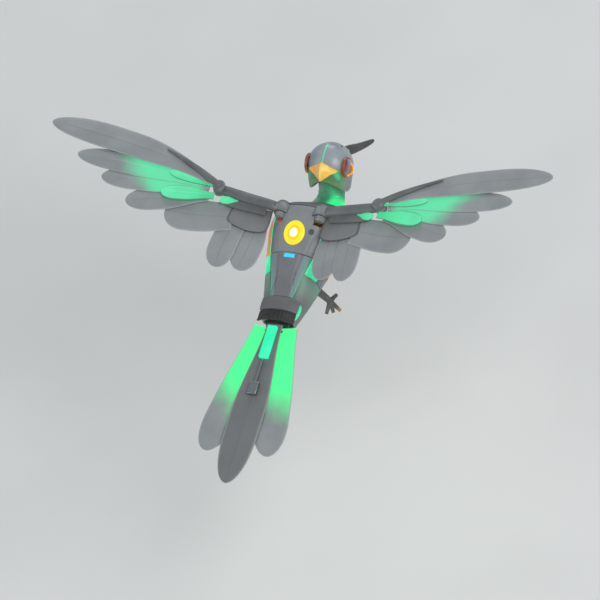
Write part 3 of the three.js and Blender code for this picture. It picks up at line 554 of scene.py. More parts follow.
def turned(profile, origin, axis, count=48):
    """A turned solid: profile pairs are radius and height along the axis, and a closed profile is a ring."""
    origin, axis = Vector(origin), Vector(axis).normalized()
    across = Vector((0, 1, 0)).cross(axis) if abs(axis.y) < 0.9 else Vector((1, 0, 0))
    across.normalize()
    up = axis.cross(across)
    rings = [ellipse(origin + axis * h, across * r, up * r, count) for r, h in profile]
    return loft(rings, caps=profile[0] != profile[-1])


def rimmed(start, end, count, rim):
    """Values from start to end, closer together at both ends, each with its distance to the nearer end."""
    inset = [0, 0.12 * rim, 0.35 * rim, 0.65 * rim, rim]
    sign = 1 if end > start else -1
    values = [start + sign * e for e in inset] + [end - sign * e for e in inset]
    values += steps(start, end, count)[1:-1]
    inside = {round(v, 5) for v in values if (v - start) * sign >= 0 and (end - v) * sign >= 0}
    values = sorted(inside, reverse=sign < 0)
    return [(v, min(abs(v - start), abs(end - v))) for v in values]


def round_over(rim, first, second):
    """How far a rounded edge has dropped, from the distances to two borders."""
    a, b = max(rim - first, 0), max(rim - second, 0)
    return rim - math.sqrt(max(rim * rim - a * a - b * b, 0))


def shell(surface, start, end, count, edges, pieces, thick, rim, arc):
    """A moulded panel with rounded edges. surface(u, v, depth) takes a station and an angle."""
    rows = rimmed(start, end, count, rim)
    columns = rimmed(0.0, arc, pieces, rim)
    outer, inner, pairs = [], [], []
    for u, border in rows:
        low, high = edges(u)
        for a, edge in columns:
            v = lerp(low, high, a / arc)
            outer.append(surface(u, v, round_over(rim, border, edge)))
            inner.append(surface(u, v, thick))
            pairs.append(((u - start) / (end - start), a / arc))
    return grid_solid(outer, inner, len(rows), len(columns), pairs)


def grid_solid(outer, inner, rows, columns, pairs):
    offset = rows * columns
    faces = []
    for i in range(rows - 1):
        for j in range(columns - 1):
            a = i * columns + j
            b = a + columns
            faces += [(a, a + 1, b + 1, b), (offset + a, offset + b, offset + b + 1, offset + a + 1)]
    border = [i * columns for i in range(rows)]
    far = [i * columns + columns - 1 for i in range(rows)]
    near = list(range(columns))
    last = list(range((rows - 1) * columns, rows * columns))
    for line in (border, far, near, last):
        for a, b in zip(line, line[1:]):
            faces.append((a, b, offset + b, offset + a))
    return outer + inner, faces, {"feather": pairs + pairs}


WELD = 2e-6  # metres


def refined(node, material, body, bevel=0.3):
    """The CAD node's own solid with its edges eased."""
    work = bmesh.new()
    work.from_mesh(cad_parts[node].data)
    bmesh.ops.remove_doubles(work, verts=work.verts, dist=WELD)
    bmesh.ops.dissolve_limit(work, angle_limit=math.radians(2), verts=work.verts, edges=work.edges)
    mesh = bpy.data.meshes.new(node + "_fine")
    work.to_mesh(mesh)
    work.free()
    made = linked(node + "_fine", mesh)
    ease = made.modifiers.new("ease", "BEVEL")
    ease.width, ease.segments, ease.limit_method = bevel * MM, 2, "ANGLE"
    ease.angle_limit = math.radians(35)
    ease.use_clamp_overlap = True
    dressed(made, material, body, [node], 32)


# ---------------------------------------------------------------- body shells
# Stations along the body with the top, the bottom and the half width of its section there.
BODY_Y = [-40, -26, -11, 11, 33, 55, 82, 104, 120]
BODY_TOP = [44, 63, 82.5, 83, 76.5, 69, 59, 51, 45]
BODY_BOTTOM = [9, 6.3, 5, 4.6, 8, 12.5, 17, 22, 26]
BODY_HALF = [27, 35, 40, 43, 39.5, 34.5, 28.5, 23.5, 19.5]
POWER = 2.2
BACK_EDGE, WAIST_Y, SKIN = 42, 47, 2.0
HUB_X, HUB_Z = 24, 80


def body_point(y, angle, depth):
    top = through(BODY_Y, BODY_TOP, y) - depth
    bottom = through(BODY_Y, BODY_BOTTOM, y) + depth
    half = through(BODY_Y, BODY_HALF, y) - depth
    a = math.radians(angle)
    s, c = math.sin(a), math.cos(a)
    x = half * math.copysign(abs(s) ** (2 / POWER), s)
    z = (top + bottom) / 2 + (top - bottom) / 2 * math.copysign(abs(c) ** (2 / POWER), c)
    return Vector((x, y, z))


def body_normal(y, angle):
    along = body_point(y + 0.5, angle, 0) - body_point(y - 0.5, angle, 0)
    round_it = body_point(y, angle + 0.5, 0) - body_point(y, angle - 0.5, 0)
    return round_it.cross(along).normalized()


def groove(distance, width, deep):
    return deep * math.exp(-((distance / width) ** 2))


def back_surface(y, angle, depth):
    """The back plate has a shallow yoke: a groove from each shoulder running down beside the lamp."""
    line = lerp(34, 26, smooth(y, 5, 47))
    carve = groove(abs(angle) - line, 1.6, 0.5) * smooth(y, 6, 16)
    return body_point(y, angle, depth - PLATE_LIFT + carve)


def offset_surface(lift):
    return lambda y, angle, depth: body_point(y, angle, depth - lift)


def rump_edge(y):
    return lerp(40, 29, clamp((y - WAIST_Y) / 48))


def fixed(low, high):
    return lambda y: (low, high)


def body_panel(name, made, material, replaces=(), cutters=()):
    piece(name, made, material, "body", replaces, cutters=cutters)


def leg_slot(sign):
    return box(sorted((sign * 13, sign * 31)), (48.5, 74), (0, 27))


# Stations along the body where one panel ends and the next begins.
NOSE_Y, COLLAR_END, BACK_START, RUMP_START, RUMP_END = -39.5, -8.4, -7.8, 47.8, 95
LAMP_END, BELLY_SPLIT, FLANK_START, TAIL_END = 66, 66.2, 67, 119
# Angles from the top of the back where one panel ends and the next begins.
BREAST_TOP, SIDE_LAMP_LOW, BELLY_FRONT_TOP, FLANK_LOW, BELLY_REAR_TOP = 43.6, 75, 76.4, 121, 122.6
PLATE_LIFT, SEAM = 0.8, 1.6
back_edges = fixed(-BACK_EDGE, BACK_EDGE)
hub_room = [cylinder((s * HUB_X, COLLAR_END, HUB_Z), (s * HUB_X, 4, HUB_Z), 9.6) for _, s in SIDES]
pin_seats = [cylinder((s * HUB_X, 6.6, HUB_Z), (s * HUB_X, 14, HUB_Z), 6) for _, s in SIDES]

back = shell(back_surface, BACK_START, WAIST_Y, 36, back_edges, 44, SKIN, 0.9, 60)
body_panel("back_shell", back, shell_grey, ["back_plate"], hub_room + pin_seats)
collar = shell(offset_surface(PLATE_LIFT), NOSE_Y, COLLAR_END, 26, back_edges, 44, SKIN, 0.9, 55)
body_panel("collar_shell", collar, collar_grey, ["shoulder_collar"], hub_room)
breast_edges = fixed(BREAST_TOP, 360 - BREAST_TOP)
breast = shell(offset_surface(0), NOSE_Y, WAIST_Y, 40, breast_edges, 96, SKIN, 0.8, 190)
body_panel("breast", breast, breast_orange, ["breast_shell"], hub_room)


def spine_half(y):
    """Half the angle of the raised spine on the rump."""
    return 17 - 2 * smooth(y, 48, 75) + 12 * smooth(y, 75, 96)


def rump_surface(y, angle, depth):
    """The rump plate carries a raised spine along its middle and a step across it."""
    rise = 0.7 * smooth(abs(angle), spine_half(y) + 1.2, spine_half(y) - 0.8)
    step = 0.35 * groove(y - 74, 0.8, 1.0)
    return body_point(y, angle, depth - 0.7 - rise + step)


status_hole = box((-6.4, 6.4), (48.1, 53.4), (60, 80))
rump_edges = lambda y: (-rump_edge(y), rump_edge(y))
rump = shell(rump_surface, RUMP_START, RUMP_END, 34, rump_edges, 40, SKIN, 0.8, 38)
body_panel("rump_shell", rump, rump_grey, ["rump_plate"], [status_hole])

# Lit lines: start, end, the angle they follow, half width, lift and material.
STRIPS = {
    "back_line": (6, 46.5, lambda y: 42.9, 0.9, 0.9, green_light),
    "rump_line": (48.5, 96, lambda y: rump_edge(y) + 0.9, 1.1, 0.7, dim_green),
    "belly_line": (67.5, 118, lambda y: 121.8, 1.0, 0.5, dim_green),
}


def side_edges(sign, upper, lower):
    """Edges of a side panel, mirrored to its side; each may change along the body."""
    return lambda y: (sign * upper(y), sign * lower(y))


for side, sign in SIDES:
    lamp_edges = side_edges(sign, lambda y: rump_edge(y) + SEAM, lambda y: SIDE_LAMP_LOW)
    glow = shell(offset_surface(0.2), RUMP_START, LAMP_END, 12, lamp_edges, 16, SKIN, 0.8, 22)
    body_panel(side + "_side_lamp", glow, green_light, [side + "_side_light"])
    flank_edges = side_edges(sign, lambda y: rump_edge(y) + SEAM, lambda y: FLANK_LOW)
    flank = shell(offset_surface(0), FLANK_START, TAIL_END, 26, flank_edges, 40, SKIN, 0.8, 46)
    body_panel(side + "_flank_shell", flank, flank_grey, [side + "_flank"], [leg_slot(sign)])
    for name, (start, end, angle, width, lift, material) in STRIPS.items():
        edges = side_edges(sign, lambda y, a=angle, w=width: a(y) - w, lambda y, a=angle, w=width: a(y) + w)
        made = shell(offset_surface(lift), start, end, 24, edges, 4, 1.6, 0.3, 2.4)
        body_panel(f"{side}_{name}", made, material)

leg_slots = [leg_slot(s) for _, s in SIDES]
door_hole = box((-12.4, 12.4), (76.6, 108.4), (0, 36))
for name, start, end, count, top, pieces, arc, cutters in (
    ("belly_front", RUMP_START, LAMP_END, 14, BELLY_FRONT_TOP, 60, 110, leg_slots),
    ("belly_rear", BELLY_SPLIT, TAIL_END, 26, BELLY_REAR_TOP, 40, 50, leg_slots + [door_hole]),
):
    made = shell(offset_surface(0), start, end, count, fixed(top, 360 - top), pieces, SKIN, 0.6, arc)
    body_panel(name, made, shell_grey, ["belly_shell"], cutters)

COWL_EDGE, COWL_START, COWL_END, HOOD_END = 54, 96, 124, 111


def cowl_surface(y, angle, depth):
    """The hood flares over the rump; the grille behind it sits lower and carries fins."""
    flare = 2.7 + 4.2 * smooth(y, 100, 124)
    sink = -1.6 * smooth(y, 96, 104) * smooth(y, HOOD_END + 0.6, HOOD_END - 0.6)
    fin = 0.5 * smooth(y, HOOD_END + 0.6, HOOD_END + 1.6) * (0.5 + 0.5 * math.cos(math.radians(angle * 40)))
    return body_point(y, angle, depth - flare + sink - fin)


cowl_edges = fixed(-COWL_EDGE, COWL_EDGE)
hood = shell(cowl_surface, COWL_START, HOOD_END, 18, cowl_edges, 44, 1.8, 0.8, 50)
body_panel("cowl_shell", hood, hood_grey, ["tail_cowl"])
grille = shell(cowl_surface, HOOD_END + 0.3, COWL_END, 12, cowl_edges, 130, 1.8, 0.4, 50)
body_panel("tail_grille", grille, grille_dark, ["tail_cowl"])


def bead(y, angle, half_y, half_x, tall, count=20):
    """(points, faces) of a rounded lamp standing out of the body skin."""
    base, normal = body_point(y, angle, 0.6), body_normal(y, angle)
    along = (body_point(y + 1, angle, 0) - body_point(y - 1, angle, 0)).normalized()
    across = normal.cross(along).normalized()
    rings = []
    for i in range(8):
        lift = math.radians(88 * i / 7)
        centre, shrink = base + normal * tall * math.sin(lift), math.cos(lift)
        rings.append(ellipse(centre, across * half_x * shrink, along * half_y * shrink, count))
    return loft(rings)


for side, sign in SIDES:
    lamp = bead(107, sign * 62, 9.5, 3.6, 3.2)
    body_panel(side + "_tail_lamp", lamp, green_light)
    recess_edges = side_edges(sign, lambda y: spine_half(y) + 1.6, lambda y: spine_half(y) + 3.0)
    recess = shell(rump_surface, 66, 93, 14, recess_edges, 4, 1.9, 0.3, 2.0)
    body_panel(side + "_rump_slot", recess, grille_dark)

# The lamp: a stepped lens, square to the back. Each step is a scale and a height.
LAMP_Y, LAMP_X, LAMP_HALF, LAMP_SIDES = 26, 12.0, 14.0, 56
lamp_centre = body_point(LAMP_Y, 0, 0)
lamp_along = (body_point(LAMP_Y + 5, 0, 0) - body_point(LAMP_Y - 5, 0, 0)).normalized()
lamp_up = Vector((1, 0, 0)).cross(lamp_along)


def lamp_ring(scale, height):
    centre = lamp_centre + lamp_up * height
    return ellipse(centre, Vector((LAMP_X * scale, 0, 0)), lamp_along * LAMP_HALF * scale, LAMP_SIDES)


LENS = [
    (1.0, -2.5), (1.0, 1.4), (0.96, 1.9), (0.88, 2.15), (0.66, 2.3),
    (0.62, 1.9), (0.58, 2.25), (0.3, 2.6), (0.04, 2.75),
]
glass = loft([lamp_ring(s, h) for s, h in LENS])
radii = [(s, 0.5) for s, _ in LENS for _ in range(LAMP_SIDES)]
body_panel("lamp_glass", (*glass, {"feather": radii}), lamp_lens, ["back_lamp"])

for node, material, body, slot, bevel in (
    ("status_light", blue_light, "body", "light_blue", 0.5),
    ("power_button", dark_grey, "power_button", "dark_grey", 0.4),
    ("mount_shoe", steel, "body", "steel", 0.5),
    ("battery_door", dark_grey, "battery_door", "dark_grey", 0.3),
    ("bulkhead", steel, "body", "steel", 0.15),
    ("wing_motor", steel, "body", "steel", 0.15),
    ("neck_post", steel, "body", "steel", 0.15),
    ("left_idler_gear", gear_ivory, "left_idler", "gear_plastic", 0.15),
    ("right_idler_gear", gear_ivory, "right_idler", "gear_plastic", 0.15),
    ("drive_pinion", steel, "drive_pinion", "steel", 0.15),
):
    refined(node, material, body, bevel)

# Shoulders: domed caps over the lugs of the body, and a filler that turns with each wing's hub.
SHOULDER_CAP = [
    (3.0, -17.6), (3.0, 0.05), (5.4, 0.1), (5.6, 0.9), (4.8, 1.9), (3.2, 2.5), (1.4, 2.75), (0.1, 2.8),
]
LUG = [(3.2, 0), (6.0, 0), (6.4, 0.4), (6.4, 2.2), (6.0, 2.6), (3.2, 2.6), (3.2, 0)]
FILL = [(3.3, -7.7), (8.2, -7.7), (9.1, -6.9), (9.2, 2.4), (8.3, 3.3), (3.3, 3.3), (3.3, -7.7)]
for side, sign in SIDES:
    for name, start, profile, body, material, slot, covers in (
        ("_shoulder_cap", 6.6, SHOULDER_CAP, "body", cap_grey, "steel", [side + "_shoulder_pin"]),
        ("_rear_lug", 4.0, LUG, "body", cap_grey, "body_grey", ()),
        ("_front_lug", -11.0, LUG, "body", collar_grey, "dark_grey", ()),
        ("_shoulder_fill", 0, FILL, side + "_wing", cap_grey, "body_grey", ()),
    ):
        made = turned(profile, (sign * HUB_X, start, HUB_Z), (0, 1, 0))
        piece(side + name, made, material, body, covers)


# ---------------------------------------------------------------- neck and head
HEAD = Vector((0, -82, 56.5))
TILT, LEAN = math.radians(42.1), math.radians(21.5)
SWIVEL = Vector((0, -math.sin(LEAN), math.cos(LEAN)))
SQUARE = Vector((0, math.cos(LEAN), math.sin(LEAN)))
NECK = 15.5


def neck_ring(high, low, half, wall):
    high, low = Vector(high), Vector(low)
    centre = (high + low) / 2
    up = high - centre
    up = up.normalized() * (up.length - wall)
    return ellipse(centre, Vector((half - wall, 0, 0)), up, 48)


NECK_STATIONS = [
    ((0, -40.5, 41), (0, -40.5, 10), 25),
    ((0, -48, 37.5), (0, -54, 13), 19.5),
    ((0, -55.5, 34.5), (0, -71, 20.5), 15.8),
    (HEAD - SWIVEL * 18 + SQUARE * NECK, HEAD - SWIVEL * 18 - SQUARE * NECK, NECK),
    (HEAD - SWIVEL * 10 + SQUARE * NECK, HEAD - SWIVEL * 10 - SQUARE * NECK, NECK),
]


def neck_rings(wall):
    """The stations, smoothed along the neck, with shallow ribs running round it."""
    rings = []
    last = len(NECK_STATIONS) - 1
    where = list(range(last + 1))
    for i in range(33):
        f = i / 32 * last
        high = Vector([through(where, [Vector(s[0])[k] for s in NECK_STATIONS], f) for k in range(3)])
        low = Vector([through(where, [Vector(s[1])[k] for s in NECK_STATIONS], f) for k in range(3)])
        half = through(where, [s[2] for s in NECK_STATIONS], f)
        rib = 0.35 * (0.5 + 0.5 * math.cos(2 * math.pi * f * 2.5)) if wall == 0 else 0
        rings.append(neck_ring(high, low, half, wall + rib))
    return rings


rings = neck_rings(0) + neck_rings(SKIN)[::-1]
piece("neck_skin", closed_loft(rings), neck_green, "body", ["neck_sleeve"])

CREST = {"root": (-36, 8), "tip": (-121, 2.5)}
to_head = Matrix.Translation(HEAD) @ Matrix.Rotation(TILT, 4, "X")
SIDE, FRONT, BACK, TOP = 25.3, 22.0, 29.7, 26.0


def rim_height(azimuth):
    forward = math.cos(azimuth)
    return lerp(-27, -15 if forward > 0 else -13, forward**2)


def skull_point(azimuth, f, depth):
    """A point of the skull in its own frame, by azimuth from the beak and fraction from crown to rim."""
    bend = min(f / 0.6, 1) * math.pi / 2
    drop = max((f - 0.6) / 0.4, 0)
    z = (TOP - depth) * math.cos(bend) + drop * rim_height(azimuth)
    taper = math.sin(bend) * (1 - 0.1 * drop**1.5)
    forward = math.cos(azimuth)
    reach = lerp(BACK, FRONT, smooth(forward, -0.25, 0.25)) if depth >= 0 else FRONT
    return Vector(((SIDE - depth) * math.sin(azimuth) * taper, (reach - depth) * forward * taper, z))


def head_piece(name, solid, material, replaces=(), body="head", sharp=40):
    points, *rest = solid
    placed = ([to_head @ Vector(p) for p in points], *rest)
    piece(name, placed, material, body, replaces, sharp)


def helmet():
    """The helmet in one skin, with a fold over the cheeks, a seam round the back and a rounded rim."""
    around, rows, length, rim = 96, 44, 45, 0.8
    outer, inner, pairs = [], [], []
    for depth, out in ((0.0, outer), (SKIN, inner)):
        for i in range(rows + 1):
            f = max(i / rows, 0.004)
            ring = []
            for j in range(around):
                azimuth = -math.pi + 2 * math.pi * j / around
                carve = round_over(rim, (1 - f) * length, 2 * rim)
                carve += groove((f - 0.62) * length, 0.7, 0.3) * smooth(abs(azimuth), 1.4, 0.9)
                carve += groove((f - 0.56) * length, 0.3, 0.3) * smooth(abs(azimuth), 1.9, 2.2)
                ring.append(skull_point(azimuth, f, depth if depth else carve))
                pairs.append((azimuth / math.pi, f))
            out.append(ring)
    count = (rows + 1) * around
    made = loft(outer + inner[::-1])
    return *made, {"feather": pairs[:count] + pairs[:count][::-1]}


head_piece("helmet", helmet(), helmet_grey, ["head_shell"], sharp=35)

# The crown line: a thin lit strip from the root of the beak over the top of the head.
outer, inner, pairs = [], [], []
LINE_ROWS = 25
for f in steps(0.1, 0.5, LINE_ROWS - 1):
    for across in (-0.75, -0.5, 0.5, 0.75):
        lift = -0.25 if abs(across) < 0.6 else 0.1
        base = skull_point(0.0, f, lift)
        outer.append(Vector((across, base.y, base.z)))
        inner.append(skull_point(0.0, f, 1.2) + Vector((across, 0, 0)))
        pairs.append((f, across))
head_piece("crown_line", grid_solid(outer, inner, LINE_ROWS, 4, pairs), green_light)
dot_seat = skull_point(math.radians(-100), 0.2, 0)
dot = turned([(1.5, -0.6), (1.5, 0.15), (1.2, 0.3), (0.1, 0.3)], dot_seat, (0, 0.1, 1), 24)
head_piece("crown_sensor", dot, crest_grey)

# The floor and crest ears of the head come straight from their CAD sizes.
EAR_X, EAR_HALF, EAR_ROUND = 5.2, 0.9, 3.4
AXIS_IN_HEAD = Vector((0, math.sin(TILT - LEAN), math.cos(TILT - LEAN)))
FLOOR_RING = [(5.4, -9.5), (20.5, -9.5), (20.5, -7.5), (5.4, -7.5), (5.4, -9.5)]
head_piece("head_floor", turned(FLOOR_RING, (0, 0, 0), AXIS_IN_HEAD), dark_grey)
for side, sign in SIDES:
    ear_y, ear_z = CREST["root"]
    ear_profile = [(EAR_ROUND, -EAR_HALF), (EAR_ROUND, EAR_HALF)]
    ear = turned(ear_profile, (sign * EAR_X, ear_y, ear_z), (1, 0, 0), 32)
    arm = box((sign * EAR_X - EAR_HALF, sign * EAR_X + EAR_HALF), (ear_y, -26.5), (ear_z - 3.2, ear_z + 3.2))
    head_piece(side + "_crest_ear", ear, helmet_grey)
    head_piece(side + "_crest_arm", arm, helmet_grey)

# Beak: two hollowed cheeks meet in a ridge that curls down to the tip.
BEAK_RIDGE = [(23.9, 8.6), (27.3, 4.6), (29.2, -0.5), (29.9, -6.5), (28.9, -12.2)]
BEAK_BORDER = [(0.0, 23.4, 8.6), (9.0, 21.6, 3.6), (17.0, 18.6, -0.9), (8.6, 23.6, -6.0), (0.0, 28.2, -12.4)]


def beak_skin(side, depth, count=18):
    """Rows from the ridge to the border of one cheek, hollowed between them."""
    where = list(range(5))
    rows = []
    for i in range(count + 1):
        f = 4 * i / count
        ridge = Vector([0] + [through(where, [p[k] for p in BEAK_RIDGE], f) for k in (0, 1)])
        border = Vector([through(where, [p[k] for p in BEAK_BORDER], f) for k in range(3)])
        row = []
        for v in steps(0, 1, 10):
            p = ridge.lerp(border, v)
            hollow = 1.1 * math.sin(math.pi * v) * math.sin(math.pi * i / count) + depth
            row.append(Vector((side * p.x, p.y - hollow, p.z)))
        rows.append(row)
    return rows


def beak_half(side):
    rows, under = beak_skin(side, 0), beak_skin(side, 1.4)
    pairs = [(-side * v / 10, i / 18) for i in range(19) for v in range(11)]
    flat = [[p for row in table for p in row] for table in (rows, under)]
    return grid_solid(flat[0], flat[1], 19, 11, pairs)


for side, sign in (("left", -1), ("right", 1)):
    head_piece(side + "_beak_half", beak_half(sign), beak_yellow, ["upper_beak"])
refined("lower_beak", beak_yellow, "lower_beak", 0.3)

# Eyes: a glossy dome almost flush with the skull in a thin orange rim, with a fin over its rear half.
for side, sign in (("left", -1), ("right", 1)):
    centre = Vector((sign * 24.2, 5.5, 1.5))

    def eye_ring(scale, height, count=48, c=centre, s=sign):
        turns = [2 * math.pi * i / count for i in range(count)]
        out = s * (height + 1.1 - 2.6 * scale * scale)  # follows the round side of the skull
        return [c + Vector((out, 10.5 * scale * math.cos(a), 11.5 * scale * math.sin(a))) for a in turns]

    rim = [(1.0, -2), (1.02, 0.5), (0.98, 1.1), (0.92, 1.0), (0.88, 0.2), (0.86, -2)]
    rim_skin = closed_loft([eye_ring(*row) for row in rim])
    head_piece(side + "_eye_rim", rim_skin, orange_rim, [side + "_eye"])
    lens = [(0.87, -2), (0.87, 0.3), (0.78, 0.6), (0.58, 0.8), (0.3, 0.9), (0.04, 0.95)]
    dome = loft([eye_ring(*row) for row in lens])
    head_piece(side + "_eye_lens", dome, eye_lens, [side + "_eye"])
    outer, inner, pairs = [], [], []
    for i in range(25):
        a = math.radians(lerp(150, 285, i / 24))
        tall = 4.2 * math.sin(math.pi * (i + 0.3) / 24.6) ** 0.8
        for j in range(7):
            v = j / 6
            reach = lerp(1.0, 0.7, v)
            out = -1.0 + (tall + 0.8) * math.sin(math.pi / 2 * v) ** 1.4
            spot = centre + Vector((sign * out, 10.5 * reach * math.cos(a), 11.5 * reach * math.sin(a)))
            outer.append(spot)
            back = Vector((sign * lerp(1.6, 0.7, v), 0.7 * v * math.cos(a), 0.7 * v * math.sin(a)))
            inner.append(spot - back)
            pairs.append((i / 24, v))
    fin = grid_solid(outer, inner, 25, 7, pairs)
    head_piece(side + "_eye_fin", fin, fin_orange, [side + "_eye"])

# Crest: a swept plume with a keel line on each side.


def crest_ring(f, height, width):
    y = lerp(CREST["root"][0], CREST["tip"][0], f)
    z = lerp(CREST["root"][1], CREST["tip"][1], f) - 1.5 * math.sin(math.pi * f)
    ring = []
    for i in range(32):
        a = 2 * math.pi * i / 32
        pinch = 1 - 0.22 * math.exp(-((math.sin(a) / 0.2) ** 2))
        ring.append(Vector((width * math.cos(a) * pinch, y, z + height * math.sin(a))))
    return ring


CREST_F = [0.02, 0.2, 0.5, 0.8, 0.96, 1.0]
CREST_H = [5, 5.9, 4.8, 3.5, 2.2, 0.8]
CREST_W = [3.6, 3.5, 2.9, 2.2, 1.5, 0.6]
rings = []
for f in steps(0.02, 1, 30):
    rings.append(crest_ring(f, through(CREST_F, CREST_H, f), through(CREST_F, CREST_W, f)))
head_piece("crest_plume", loft(rings), crest_grey, ["crest"], "crest")
hinge = turned([(5.2, -3.8), (5.2, 3.8)], (0, *CREST["root"]), (1, 0, 0), 40)
head_piece("crest_barrel", hinge, crest_grey, (), "crest")


# ---------------------------------------------------------------- wings
DIHEDRAL = math.radians(10.5)
WING_Z, LAYER, BLADE = 88, 1.5, 1.05
OUT = Vector((math.cos(DIHEDRAL), 0, math.sin(DIHEDRAL)))
UP = Vector((-math.sin(DIHEDRAL), 0, math.cos(DIHEDRAL)))
WRIST = (73, 8.5)


def wing_point(s, t, n):
    inner = 1 - smooth(s, 60, 130)
    droop = -4 * inner * (max(0, -t - 30) / 50) ** 2
    washout = -0.09 * t * smooth(s, 90, 200)
    base = Vector((HUB_X - n * math.sin(DIHEDRAL), -t, WING_Z)) + OUT * s
    return base + Vector((0, 0, (n + droop + washout) * math.cos(DIHEDRAL)))


ACROSS_HALF = [0, 0.045, 0.12, 0.35, 0.6, 0.85, 0.94, 0.985, 1]
ACROSS = [-v for v in ACROSS_HALF[:0:-1]] + ACROSS_HALF
TIP_START = 0.72  # the round tip of a feather begins here


def feather_width(f, quill):
    opened = lerp(quill, 1, smooth(f, 0, 0.6))
    tip = clamp((f - TIP_START) / (1 - TIP_START))
    return opened * math.sqrt(max(1 - tip**2.2, 0.004))


def quadratic(a, b, c, f):
    return [(1 - f) ** 2 * a[k] + 2 * f * (1 - f) * b[k] + f * f * c[k] for k in (0, 1)]


def feather(place, shape, camber, blade, sign=1, wing_spot=None):
    """A feather with thin rolled edges and a raised quill. place puts (out, forward, height) on the bird;
    wing_spot is one pair for the wing map where the feather isn't part of a wing."""
    root, bend, tip, half, quill, layer = shape
    lengths = steps(0, TIP_START, 30)
    lengths += [lerp(TIP_START, 1, math.sin(math.pi / 2 * i / 16)) for i in range(1, 17)]
    outer, inner, pairs, places = [], [], [], []
    for f in lengths:
        x, y = quadratic(root, bend, tip, f)
        before, after = quadratic(root, bend, tip, f - 0.01), quadratic(root, bend, tip, f + 0.01)
        along = (Vector(after) - Vector(before)).normalized()
        width = half * feather_width(f, quill)
        for v in ACROSS:
            a, b = x + along.y * v * width, y - along.x * v * width
            edge = 0.38 * max(0.0, (abs(v) - 0.85) / 0.15) ** 2
            rib = 0.22 * math.exp(-((v / 0.05) ** 2)) * smooth(f, 0.98, 0.8)
            top = -layer * LAYER - camber * v * v
            for points, n in ((outer, top - edge + rib), (inner, top - blade + edge * 0.4)):
                p = place(a, b, n)
                points.append(Vector((p.x * sign, p.y, p.z)))
            pairs.append((f, v))
            places.append(wing_spot or (a / 100, b / 100))
    made = grid_solid(outer, inner, len(lengths), len(ACROSS), pairs)
    made[2]["wing"] = places + places
    return made


FEATHERS = {
    "primary_1": ((84, 13), (150, 45), (281, 48), 16.5, 0.32, 0),
    "primary_2": ((84, 9), (150, 18.5), (240, 14.5), 14, 0.35, 2),
    "primary_3": ((84, 5), (140, 3), (205, -7.5), 14.5, 0.35, 3),
    "primary_4": ((82, -3), (122, -13), (169, -32), 15, 0.4, 4),
    "arm_covert": ((30, -5), (29, -18), (31, -34), 24, 0.95, 4.4),
    "secondary_1": ((50, -20), (84, -30), (124, -31), 21, 0.85, 5.5),
    "secondary_2": ((40, -6), (50, -42), (50.5, -84), 15.5, 0.8, 6.5),
    "secondary_3": ((19, -8), (17, -45), (26, -81), 15.5, 0.6, 7.5),
}
HAND_COVERTS = {
    "front_covert": ((77, 9), (105, 12), (133, 15.5), 5.6, 0.3, 0.75),
    "rear_covert": ((75, -3.5), (105, -6), (134, -12.5), 9.5, 0.45, 1.0),
    "spar_glint": ((84, 7.5), (98, 16.5), (117, 25), 2.4, 0.5, 0.2),
}
WEB = ((48, -2), (58, -4), (68.5, -5), 5.4, 0.2, 0)
ARM_SKIN = ((14, -3.5), (40, -3.5), (66, -1), 9, 0.95, 0)
WEB_DROP, SKIN_DROP = 3.4, 4.3  # below the plane of the wing
CAMBER, THIN_CAMBER, VANE_SHARP = 0.4, 0.3, 50
HAND = ("primary_1", "primary_2", "primary_3", "primary_4")
LIT = ("primary_2", "primary_3")


def wing_section(s, t, chord, n, thick, sign, tall=None):
    """A rounded, slightly flat-bottomed section of an arm or hand spar."""
    centre = wing_point(s, t, n)
    ring = []
    for i in range(32):
        a = 2 * math.pi * i / 32
        x = math.copysign(abs(math.cos(a)) ** 0.85, math.cos(a))
        z = math.copysign(abs(math.sin(a)) ** 0.85, math.sin(a))
        p = centre + Vector((0, -chord * x, 0)) + (tall or UP) * thick * z
        ring.append(Vector((p.x * sign, p.y, p.z)))
    return ring


def spar(table, sign):
    """Smooth rings through a table of sections: out, forward, chord, height, thickness."""
    where = [row[0] for row in table]
    rings = []
    for s in steps(where[0], where[-1], 40):
        values = [through(where, [row[k] for row in table], s) for k in range(1, 5)]
        rings.append(wing_section(s, *values, sign))
    return loft(rings)


ARM = [
    (2, 2, 5.2, -7, 3.4), (9, 2.4, 5.7, -5, 4.6), (35, 3.5, 6.2, -4, 5),
    (58, 6.5, 5.8, -4.4, 4.4), (71, 8.5, 5.6, -5, 3.6),
]
HAND_SPAR = [
    (73, 8.5, 4.8, 2, 1.9), (85, 15, 4.4, 2.3, 2.1), (98, 21.8, 3.8, 2.2, 2),
    (112, 28.3, 3.1, 2, 1.8), (126, 34.6, 2.3, 1.7, 1.4), (144, 42, 1.2, 1.2, 0.8),
]
FAIRING = 0.25  # how far a fairing stands off its spar
SEAT = [(2.3, -9), (6.4, -9), (7, -8.4), (7, -1.8), (6.4, -1.2), (2.3, -1.2)]
CAP = [(7, -0.4), (7, 3.0), (6.5, 3.6), (4.6, 3.9), (4.3, 3.6), (2.0, 3.8), (0.1, 3.8)]
PIN = [(2.0, -8.6), (2.0, 0)]
wrist = wing_point(*WRIST, 0)


def lowered(drop):
    return lambda s, t, n: wing_point(s, t, n - drop)


